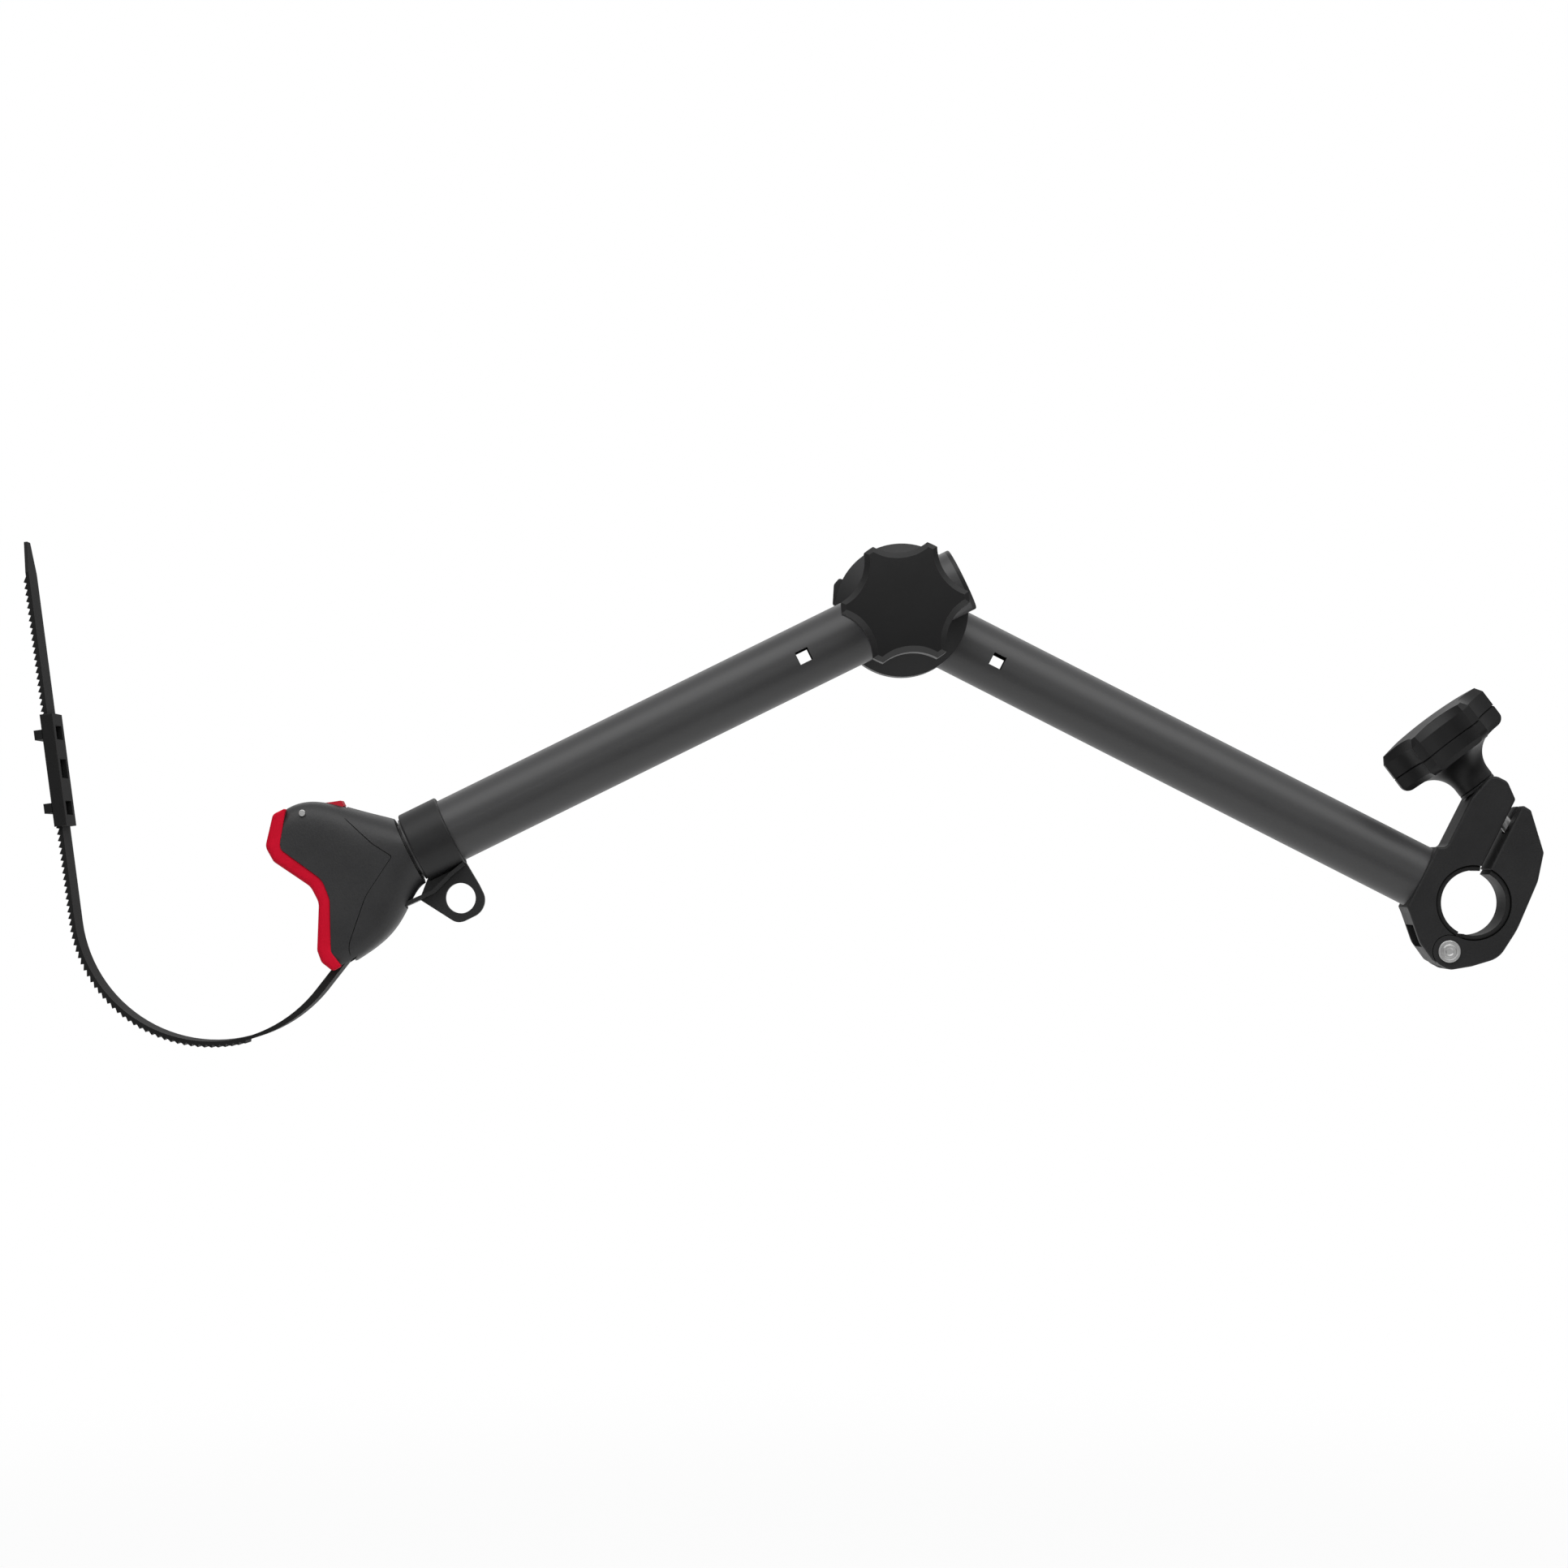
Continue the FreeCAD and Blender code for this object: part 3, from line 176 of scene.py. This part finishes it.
# %% World
ROOM_DIM, ROOM_BRIGHT, ROOM_BRIGHT_FROM = 0.14, 0.6, 0.7
MIRRORED_LEAST = 0.2
world = bpy.data.worlds.new("studio")
bpy.context.scene.world = world
world.use_nodes = True
tree = world.node_tree
tree.nodes.clear()
direction = add_node(tree, "ShaderNodeTexCoord")
parts_of = add_node(tree, "ShaderNodeSeparateXYZ")
tree.links.new(direction.outputs["Generated"], parts_of.inputs[0])
room_level = map_range(
    tree, parts_of.outputs["Z"], 0.0, ROOM_BRIGHT_FROM, ROOM_DIM, ROOM_BRIGHT, smooth=True
)
ray = add_node(tree, "ShaderNodeLightPath")
seen = maths(tree, "MAXIMUM", ray.outputs["Is Camera Ray"], ray.outputs["Is Transmission Ray"])
mirrored = maths(tree, "MULTIPLY", ray.outputs["Is Glossy Ray"], MIRRORED_LEAST)
seen = maths(tree, "MAXIMUM", seen, mirrored)
level = maths(tree, "MAXIMUM", room_level, seen)
background = add_node(tree, "ShaderNodeBackground", Color=(1, 1, 1, 1))
world_out = add_node(tree, "ShaderNodeOutputWorld")
tree.links.new(level, background.inputs["Strength"])
tree.links.new(background.outputs[0], world_out.inputs["Surface"])
print("room nodes:", len(tree.nodes))

# %% [markdown]
# ## Floor
# A white floor lies below the arm. A plain matt one would fade to grey far from the lamps, so
# most of what the camera and mirrors see of it is plain white, and the rest is lit and takes
# the arm's shade. Seen from underneath it is clear.

# %% Floor
FLOOR_LEVEL = -0.34
FLOOR_FRONT, FLOOR_BACK, FLOOR_HALF = -0.55, 3.5, 3.2
SHADE_NEAR, SHADE_FAR, PLAIN_NEAR = 0.4, 1.1, 0.9


def floor_material():
    """White floor: mostly plain white to the camera and to mirrors, the rest lit and shaded.

    The plain share grows from PLAIN_NEAR to 1 between the distances SHADE_NEAR and SHADE_FAR."""
    made = bpy.data.materials.new("white_floor")
    made.use_nodes = True
    tree = made.node_tree
    tree.nodes.clear()
    matt = add_node(tree, "ShaderNodeBsdfDiffuse", Color=(0.86, 0.86, 0.86, 1))
    white = add_node(tree, "ShaderNodeEmission", Color=(1, 1, 1, 1), Strength=1.0)
    clear = add_node(tree, "ShaderNodeBsdfTransparent", Color=(1, 1, 1, 1))
    ray = add_node(tree, "ShaderNodeLightPath")
    side = add_node(tree, "ShaderNodeNewGeometry")
    seen = maths(tree, "MAXIMUM", ray.outputs["Is Camera Ray"], ray.outputs["Is Glossy Ray"])
    seen = maths(tree, "MAXIMUM", seen, ray.outputs["Is Transmission Ray"])
    place = add_node(tree, "ShaderNodeTexCoord").outputs["Object"]
    apart = add_node(tree, "ShaderNodeVectorMath", {"operation": "DISTANCE"})
    apart.inputs[1].default_value = (CENTRE.x, CENTRE.y, FLOOR_LEVEL)
    tree.links.new(place, apart.inputs[0])
    plain = map_range(
        tree, apart.outputs["Value"], SHADE_NEAR, SHADE_FAR, PLAIN_NEAR, 1.0, smooth=True
    )
    share = maths(tree, "MULTIPLY", seen, plain)
    lit = add_node(tree, "ShaderNodeMixShader")
    tree.links.new(share, lit.inputs[0])
    tree.links.new(matt.outputs[0], lit.inputs[1])
    tree.links.new(white.outputs[0], lit.inputs[2])
    open_below = add_node(tree, "ShaderNodeMixShader")
    tree.links.new(side.outputs["Backfacing"], open_below.inputs[0])
    tree.links.new(lit.outputs[0], open_below.inputs[1])
    tree.links.new(clear.outputs[0], open_below.inputs[2])
    out = add_node(tree, "ShaderNodeOutputMaterial")
    tree.links.new(open_below.outputs[0], out.inputs["Surface"])
    return made


floor_mesh = bpy.data.meshes.new("floor")
floor_mesh.from_pydata(
    [
        (CENTRE.x + side * FLOOR_HALF, end, FLOOR_LEVEL)
        for side, end in ((-1, FLOOR_FRONT), (1, FLOOR_FRONT), (1, FLOOR_BACK), (-1, FLOOR_BACK))
    ],
    [],
    [(0, 1, 2, 3)],
)
floor_mesh.materials.append(floor_material())
floor = bpy.data.objects.new("floor", floor_mesh)
bpy.context.scene.collection.objects.link(floor)
print("floor at", FLOOR_LEVEL)

# %% [markdown]
# ## Finishes
# The tubes and castings are coated, the knobs, saddles and head are moulded, and only the pins,
# bolts and inserts are bare metal. Pictures of such surfaces would need a map on every piece.
# Noise in the object's own coordinates needs none: each finish gets a grain at its own scale as
# bump, a slow cloud that shifts colour and roughness a little, and its own sheen.

# %% How a finish is made
MIX_LOW, MIX_HIGH, MIX_RESULT = 6, 7, 2  # a Mix node's sockets when it mixes colours
CLOUD_RANGE, GRAIN_RANGE = (0.3, 0.7), (0.35, 0.65)  # where noise's values mostly lie
SPECK = 0.25  # how far the grain shifts the colour, as a share of low to high
GRAIN_SHARE = 0.4  # how much of the roughness follows the grain, the rest the cloud
PITS_PER_GRAIN = 0.55


def noise(tree, coordinate, size, detail, roughness):
    """Noise whose features are about size metres across."""
    made = add_node(
        tree, "ShaderNodeTexNoise", Scale=1.0 / size, Detail=detail, Roughness=roughness
    )
    tree.links.new(coordinate, made.inputs["Vector"])
    return made.outputs["Fac"]


def blend_colours(tree, factor, low, high):
    """A colour between low and high."""
    made = add_node(tree, "ShaderNodeMix", {"data_type": "RGBA"})
    made.inputs[MIX_LOW].default_value = (*low, 1)
    made.inputs[MIX_HIGH].default_value = (*high, 1)
    tree.links.new(factor, made.inputs[0])
    return made.outputs[MIX_RESULT]


def surface(name, low, high, rough, grain, depth, cloud=0.02, gloss=0.5, metal=0.0, pits=0.0):
    """A finish: colours low to high in slow clouds, rough as (least, most), and a grain of the
    given size and depth in metres. pits adds round specks to the grain."""
    made = bpy.data.materials.new(name)
    made.use_nodes = True
    tree = made.node_tree
    shader = tree.nodes["Principled BSDF"]
    shader.inputs["Metallic"].default_value = metal
    shader.inputs["Specular IOR Level"].default_value = gloss
    place = add_node(tree, "ShaderNodeTexCoord").outputs["Object"]
    slow = noise(tree, place, cloud, detail=4.0, roughness=0.6)
    fine = noise(tree, place, grain, detail=3.0, roughness=0.55)
    tint = map_range(tree, slow, *CLOUD_RANGE, 0.0, 1.0)
    speck = map_range(tree, fine, *GRAIN_RANGE, -SPECK, SPECK)
    colour = blend_colours(tree, maths(tree, "ADD", tint, speck), low, high)
    tree.links.new(colour, shader.inputs["Base Color"])
    slow_part = maths(tree, "MULTIPLY", slow, 1 - GRAIN_SHARE)
    sheen = maths(tree, "ADD", slow_part, maths(tree, "MULTIPLY", fine, GRAIN_SHARE))
    tree.links.new(map_range(tree, sheen, *GRAIN_RANGE, *rough), shader.inputs["Roughness"])
    height = fine
    if pits:
        dots = add_node(tree, "ShaderNodeTexVoronoi", Scale=PITS_PER_GRAIN / grain)
        tree.links.new(place, dots.inputs["Vector"])
        height = maths(tree, "ADD", fine, maths(tree, "MULTIPLY", dots.outputs["Distance"], pits))
    bump = add_node(tree, "ShaderNodeBump", Strength=1.0, Distance=depth)
    tree.links.new(height, bump.inputs["Height"])
    tree.links.new(bump.outputs["Normal"], shader.inputs["Normal"])
    return made


# %% The finishes, by slot
finishes = {
    "casting": surface(
        "powder_coated_casting", (0.016, 0.016, 0.0165), (0.022, 0.022, 0.0225), (0.46, 0.58),
        0.0007, 0.00005, gloss=0.3, pits=0.7,
    ),
    "tube_coat": surface(
        "satin_tube_coat", (0.050, 0.050, 0.051), (0.058, 0.058, 0.059), (0.36, 0.44),
        0.0006, 0.000012, cloud=0.05, gloss=0.5,
    ),
    "knob_plastic": surface(
        "knob_plastic", (0.005, 0.005, 0.0052), (0.008, 0.008, 0.0083), (0.40, 0.50),
        0.0005, 0.00002, cloud=0.03, gloss=0.34,
    ),
    "black_plastic": surface(
        "saddle_plastic", (0.017, 0.017, 0.0175), (0.023, 0.023, 0.0235), (0.42, 0.52),
        0.0006, 0.00002, gloss=0.35,
    ),
    "head_plastic": surface(
        "grained_head_plastic", (0.023, 0.023, 0.024), (0.031, 0.031, 0.032), (0.42, 0.54),
        0.0008, 0.00006, gloss=0.45, pits=0.5,
    ),
    "strap_plastic": surface(
        "strap_plastic", (0.008, 0.008, 0.008), (0.012, 0.012, 0.012), (0.58, 0.7),
        0.0006, 0.00002, gloss=0.22,
    ),
    "liner_rubber": surface(
        "liner_rubber", (0.013, 0.013, 0.013), (0.018, 0.018, 0.018), (0.5, 0.64),
        0.0005, 0.00002, gloss=0.25,
    ),
    "red_rubber": surface(
        "red_grip_rubber", (0.66, 0.0015, 0.022), (0.74, 0.003, 0.030), (0.52, 0.62),
        0.0006, 0.000008, cloud=0.012, gloss=0.15,
    ),
    "red_plastic": surface(
        "red_lever_plastic", (0.66, 0.0015, 0.022), (0.72, 0.003, 0.028), (0.36, 0.46),
        0.0005, 0.00001, gloss=0.45,
    ),
    "zinc_steel": surface(
        "zinc_plated_steel", (0.56, 0.56, 0.555), (0.68, 0.68, 0.675), (0.36, 0.5),
        0.0004, 0.00001, cloud=0.006, metal=1.0,
    ),
    "brass": surface(
        "plain_brass", (0.50, 0.36, 0.12), (0.62, 0.46, 0.18), (0.28, 0.42),
        0.0004, 0.00001, cloud=0.006, metal=1.0,
    ),
}
print("finishes:", len(finishes))

# %% Every solid node takes the finish of its slot
for part in frame["record"]["subparts"]:
    node_mesh = frame["nodes"][part["node"]].data
    node_mesh.materials.clear()
    node_mesh.materials.append(finishes[part["material_slot"]])

# %% [markdown]
# ## How the new pieces are made
# A Bevel modifier could soften a block, but it rounds every edge alike. Here each new piece is a
# closed run of rings: an outline of corners joined by straight runs and arcs, carried through
# its depth or round an axis, so every edge has the radius that it has on the real piece.

# %% Outlines as evenly spaced points
def rounded_outline(corners, count, steps=12):
    """count points evenly spaced round a closed outline of (along, across, radius) corners.

    Each corner becomes an arc about c = p + m r / sin(h), where p is the corner, m the unit
    vector that halves its angle 2h; the arc is the turn between its two touching points."""
    corners = np.asarray(corners, float)
    here, radius = corners[:, :2], corners[:, 2:]
    back = np.roll(here, 1, 0) - here
    ahead = np.roll(here, -1, 0) - here
    back /= np.linalg.norm(back, axis=1, keepdims=True)
    ahead /= np.linalg.norm(ahead, axis=1, keepdims=True)
    half = np.arccos(np.clip((back * ahead).sum(1, keepdims=True), -1, 1)) / 2
    inward = (back + ahead) / np.linalg.norm(back + ahead, axis=1, keepdims=True)
    centre = here + inward * radius / np.sin(half)
    first = here + back * radius / np.tan(half) - centre
    last = here + ahead * radius / np.tan(half) - centre
    turn = (math.pi - 2 * half)[:, None, :]
    share = np.linspace(0, 1, steps)[None, :, None]
    arc = np.sin((1 - share) * turn) * first[:, None] + np.sin(share * turn) * last[:, None]
    path = (centre[:, None] + arc / np.sin(turn)).reshape(-1, 2)
    path = np.vstack([path, path[:1]])
    length = np.concatenate([[0], np.cumsum(np.linalg.norm(np.diff(path, axis=0), axis=1))])
    at = np.linspace(0, length[-1], count, endpoint=False)
    return np.stack([np.interp(at, length, path[:, 0]), np.interp(at, length, path[:, 1])], -1)


def outward(path):
    """Unit normals of a closed outline, pointing out of it: the line between a point's two
    neighbours, turned a quarter to the right, or left where the outline runs clockwise."""
    along = np.roll(path, -1, 0) - np.roll(path, 1, 0)
    normal = np.stack([along[:, 1], -along[:, 0]], -1)
    normal /= np.linalg.norm(normal, axis=1, keepdims=True)
    area = (path[:, 0] * np.roll(path[:, 1], -1) - np.roll(path[:, 0], -1) * path[:, 1]).sum()
    return normal * np.sign(area)


def soft_edge(path, soft, steps):
    """Rings that round off the edge of a flat face, and how far each lies behind that face.

    The outline is pulled in by s (1 - sin q) at a depth s (1 - cos q), q from 0 to 90 degrees."""
    quarter = np.linspace(0, math.pi / 2, steps)[:, None, None]
    rings = path - outward(path) * soft * (1 - np.sin(quarter))
    return rings, np.broadcast_to(soft * (1 - np.cos(quarter)), rings.shape[:2] + (1,))


def about_y(radius, depth, turn):
    """Points about a line along y, in metres: x = r cos t, z = r sin t, from millimetres."""
    swept = np.broadcast_arrays(radius * np.cos(turn), depth, radius * np.sin(turn))
    return np.stack(swept, -1) * MM


# %% Rings as a piece
MERGE = 2e-6


def closed_tube(name, rows, finish, body, sharp=40.0):
    """A piece of rings joined one to the next, with a flat face over each end ring.

    rows is an array (rings, points, 3) in metres. Points that fall together are merged."""
    rings, points = rows.shape[:2]
    index = np.arange(rings * points).reshape(rings, points)
    a, b = index[:-1], index[1:]
    quads = np.stack([a, np.roll(a, -1, 1), np.roll(b, -1, 1), b], -1).reshape(-1, 4)
    faces = quads.tolist() + [index[0, ::-1].tolist(), index[-1].tolist()]
    mesh = bpy.data.meshes.new(name)
    mesh.from_pydata(rows.reshape(-1, 3), [], faces)
    work = bmesh.new()
    work.from_mesh(mesh)
    bmesh.ops.remove_doubles(work, verts=work.verts, dist=MERGE)
    bmesh.ops.recalc_face_normals(work, faces=work.faces)
    work.to_mesh(mesh)
    work.free()
    mesh.polygons.foreach_set("use_smooth", np.ones(len(mesh.polygons), bool))
    mesh.set_sharp_from_angle(angle=math.radians(sharp))
    mesh.materials.append(finish)
    piece = bpy.data.objects.new(name, mesh)
    bpy.context.scene.collection.objects.link(piece)
    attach(piece, body)
    return piece


# %% [markdown]
# ## The grip's soft cushion
# The bicycle's frame rests in a V of firm red rubber. Simulated cloth would puff it up like a
# pillow, while rubber keeps its moulded outline, so the shape is worked out: tight against the
# head behind, well rounded in front, on the solid's own outline. Between the strap's two edges
# the lower lobe stops short, which leaves the strap its way out.

# %% The cushion
HEAD_START = 253.4  # the outer tube's length, where the head begins
near, far, back_face = HEAD_START + 48.6, HEAD_START + 57.8, HEAD_START + 41.0
cushion_corners = np.array([
    (near - 7.2, 42.2, 0.6), (near - 0.4, 42.2, 3), (far, 30.4, 5), (far - 0.4, 22.6, 4),
    (near - 1.4, 4.8, 8), (near - 1.6, -3.4, 8), (far - 0.4, -22.8, 5), (far + 0.2, -28.6, 4),
    (near + 6.4, -34.6, 2), (near + 1.8, -34.2, 0.6), (near + 3.2, -26.4, 3),
    (back_face + 0.6, -4.5, 10), (back_face - 0.2, 5.2, 10), (near + 3.2, 26.2, 3),
    (near + 2.0, 29.0, 3),
])
CUSHION_HALF = 17.0
SOFT_BEHIND, SOFT_IN_FRONT = 0.5, 2.4  # radius of the cushion's edges
FRONT_STARTS, FRONT_WIDTH = -0.25, 0.7  # of the normal's part along the arm
CORNER_HOLD, CORNER_GROWTH = 0.6, 0.3  # keep a soft edge under its corner's own radius
STRAP_PIN = np.array([HEAD_START + 31.0, -23.4])
STRAP_LEAN = -25.8 + 7.0  # degrees: the strap's lead at rest, and a little over its swing
STRAP_CLEAR = 2.1  # from the lead's middle line to the cushion
STRAP_ROOM_HALF = 12.5


def clear_of_strap(path):
    """The outline without its part below the strap's way out, closed there by a straight run.

    The way out is a line through the pin; a point's height over it is its distance along the
    line's normal (-sin a, cos a), where a is the lean."""
    lean = math.radians(STRAP_LEAN)
    height = (path - STRAP_PIN) @ np.array([-math.sin(lean), math.cos(lean)]) - STRAP_CLEAR
    below = np.flatnonzero(height < 0)
    ends = path[below[0] - 1], path[(below[-1] + 1) % len(path)]
    share = np.linspace(0, 1, len(below) + 2)[1:-1, None]
    trimmed = path.copy()
    trimmed[below] = ends[0] + (ends[1] - ends[0]) * share
    return trimmed


def cushion_rows():
    """Rings of the cushion from its near flank to its far one, the same both ways from the
    middle: a soft edge, the flank's full outline in to the strap's room, the trimmed outline.

    The edge's radius goes from SOFT_BEHIND to SOFT_IN_FRONT by f f (3 - 2 f), where f grows
    from 0 to 1 as the outline's normal turns to the front."""
    path = rounded_outline(cushion_corners, count=320)
    front = np.clip((outward(path)[:, :1] - FRONT_STARTS) / FRONT_WIDTH, 0, 1)
    soft = SOFT_BEHIND + (SOFT_IN_FRONT - SOFT_BEHIND) * front * front * (3 - 2 * front)
    from_corner = np.linalg.norm(path[:, None] - cushion_corners[None, :, :2], axis=-1)
    limit = CORNER_HOLD * cushion_corners[:, 2] + CORNER_GROWTH * from_corner
    soft = np.minimum(soft, limit.min(1, keepdims=True))
    rings, behind = soft_edge(path, soft, steps=7)
    flank = np.concatenate([rings, CUSHION_HALF - behind], -1)
    room = np.full((len(path), 1), STRAP_ROOM_HALF)
    walls = np.stack([np.hstack([path, room]), np.hstack([clear_of_strap(path), room])])
    side = np.concatenate([flank, walls])
    rows = np.concatenate([side, side[::-1] * (1, 1, -1)])
    return on_arm(rows[..., 0], rows[..., 1], rows[..., 2])


cushion = closed_tube("grip_cushion", cushion_rows(), finishes["red_rubber"], "outer_arm")
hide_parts("grip_pad")
print("cushion faces:", len(cushion.data.polygons))

# %% [markdown]
# ## The clamp's liners
# Two rubber half rings line the bore, so that the clamp holds its rail without marking it. They
# could be the solid's own rings, but those meet the casting edge to edge and vanish in it. A
# section carried round the bore has outer rims that are rounded off, which leaves the dark
# line between each liner and its casting.

# %% Liners
LINER_IN, LINER_OUT, LINER_HALF = 15.2, 17.55, 15.0
EDGE_IN, EDGE_OUT = 0.35, 0.9
LINER_SECTIONS = 97


def liner_rows(middle, span):
    """Sections of a half ring about the bore: (r, y) runs round a rounded rectangle, and the
    turn over the span, in degrees, about the middle."""
    corners = [
        (LINER_IN, -LINER_HALF, EDGE_IN), (LINER_OUT, -LINER_HALF, EDGE_OUT),
        (LINER_OUT, LINER_HALF, EDGE_OUT), (LINER_IN, LINER_HALF, EDGE_IN),
    ]
    section = rounded_outline(corners, count=160, steps=8)
    turn = np.linspace(middle - span / 2, middle + span / 2, LINER_SECTIONS)
    return about_y(section[:, 0], section[:, 1], np.radians(turn)[:, None])


# name, the node it replaces, the half ring's middle and span in degrees, its body
for liner_name, node, middle, span, body in (
    ("liner_ring_fixed", "liner_fixed", 160.5, 163.0, "clamp_arm"),
    ("liner_ring_moving", "liner_moving", 336.5, 169.0, "clamp_jaw"),
):
    liner = closed_tube(liner_name, liner_rows(middle, span), finishes["liner_rubber"], body)
    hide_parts(node)
    print(liner_name, "faces:", len(liner.data.polygons))

# %% [markdown]
# ## The rear saddle's locating tab
# A small moulded lug stands out from the rear saddle's rim, beside the inner tube's free end.
# An outline given depth and nothing else would look sawn, so both its faces get soft edges.

# %% Tab
TAB_OUTLINE = [
    (-27.0, 2.2, 0.8), (-32.0, 3.0, 1.2), (-31.4, 12.6, 1.6), (-29.0, 15.4, 1.2),
    (-24.0, 14.0, 0.8),
]
TAB_LOW, TAB_HIGH, TAB_SOFT = -17.4, -8.6, 0.5


def tab_rows():
    """Rings of a plate about the arm's fold, with soft edges at both flat faces."""
    rings, behind = soft_edge(rounded_outline(TAB_OUTLINE, count=96), TAB_SOFT, steps=5)
    low = np.concatenate([rings, TAB_LOW + behind], -1)
    high = np.concatenate([rings, TAB_HIGH - behind], -1)[::-1]
    rows = np.concatenate([low, high])[..., [0, 2, 1]]
    return rows * MM + (fold_x, 0, fold_z)


tab = closed_tube("rear_saddle_tab", tab_rows(), finishes["black_plastic"], "clamp_arm")
print("tab faces:", len(tab.data.polygons))

# %% [markdown]
# ## The jaw's rivet
# The hinge is a steel rivet whose ends are turned in rings. Bump in a material could suggest
# them, but steel shows a ring by what its edges mirror, so the profile has real grooves with
# rounded edges and is carried round the hinge's axis.

# %% Rivet
RIVET_HALF = [
    (0.05, 17.0, 0), (1.5, 17.0, 0.1), (1.9, 17.4, 0.15), (3.0, 17.4, 0.2), (3.3, 16.9, 0.1),
    (3.7, 16.9, 0.1), (4.0, 17.0, 0.1), (5.2, 17.0, 0.35), (5.2, 16.1, 0), (3.0, 16.1, 0),
    (3.0, 0.0, 0),
]
hinge_x, _, hinge_z = joints["jaw_open"]["pos_m"]


def nearest(path, corner):
    """Which point of the path lies nearest to a corner."""
    return np.argmin(np.linalg.norm(path - corner[:2], axis=1))


def rivet_rows():
    """Circles about the jaw's hinge for each (r, y) of the rivet's profile, which runs from
    the middle of one head to the shank's half, and on in mirror image."""
    path = rounded_outline(RIVET_HALF, count=440)
    path = np.roll(path, -nearest(path, RIVET_HALF[0]), axis=0)
    half = path[: nearest(path, RIVET_HALF[-1]) + 1]
    profile = np.vstack([half, half[::-1] * (1, -1)])
    turn = np.linspace(0, 2 * math.pi, 96, endpoint=False)
    return about_y(profile[:, :1], profile[:, 1:], turn) + (hinge_x, 0, hinge_z)


rivet = closed_tube(
    "hinge_rivet", rivet_rows(), finishes["zinc_steel"], "clamp_arm", sharp=50.0
)
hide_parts("clamp_hinge_pin")
print("rivet faces:", len(rivet.data.polygons))
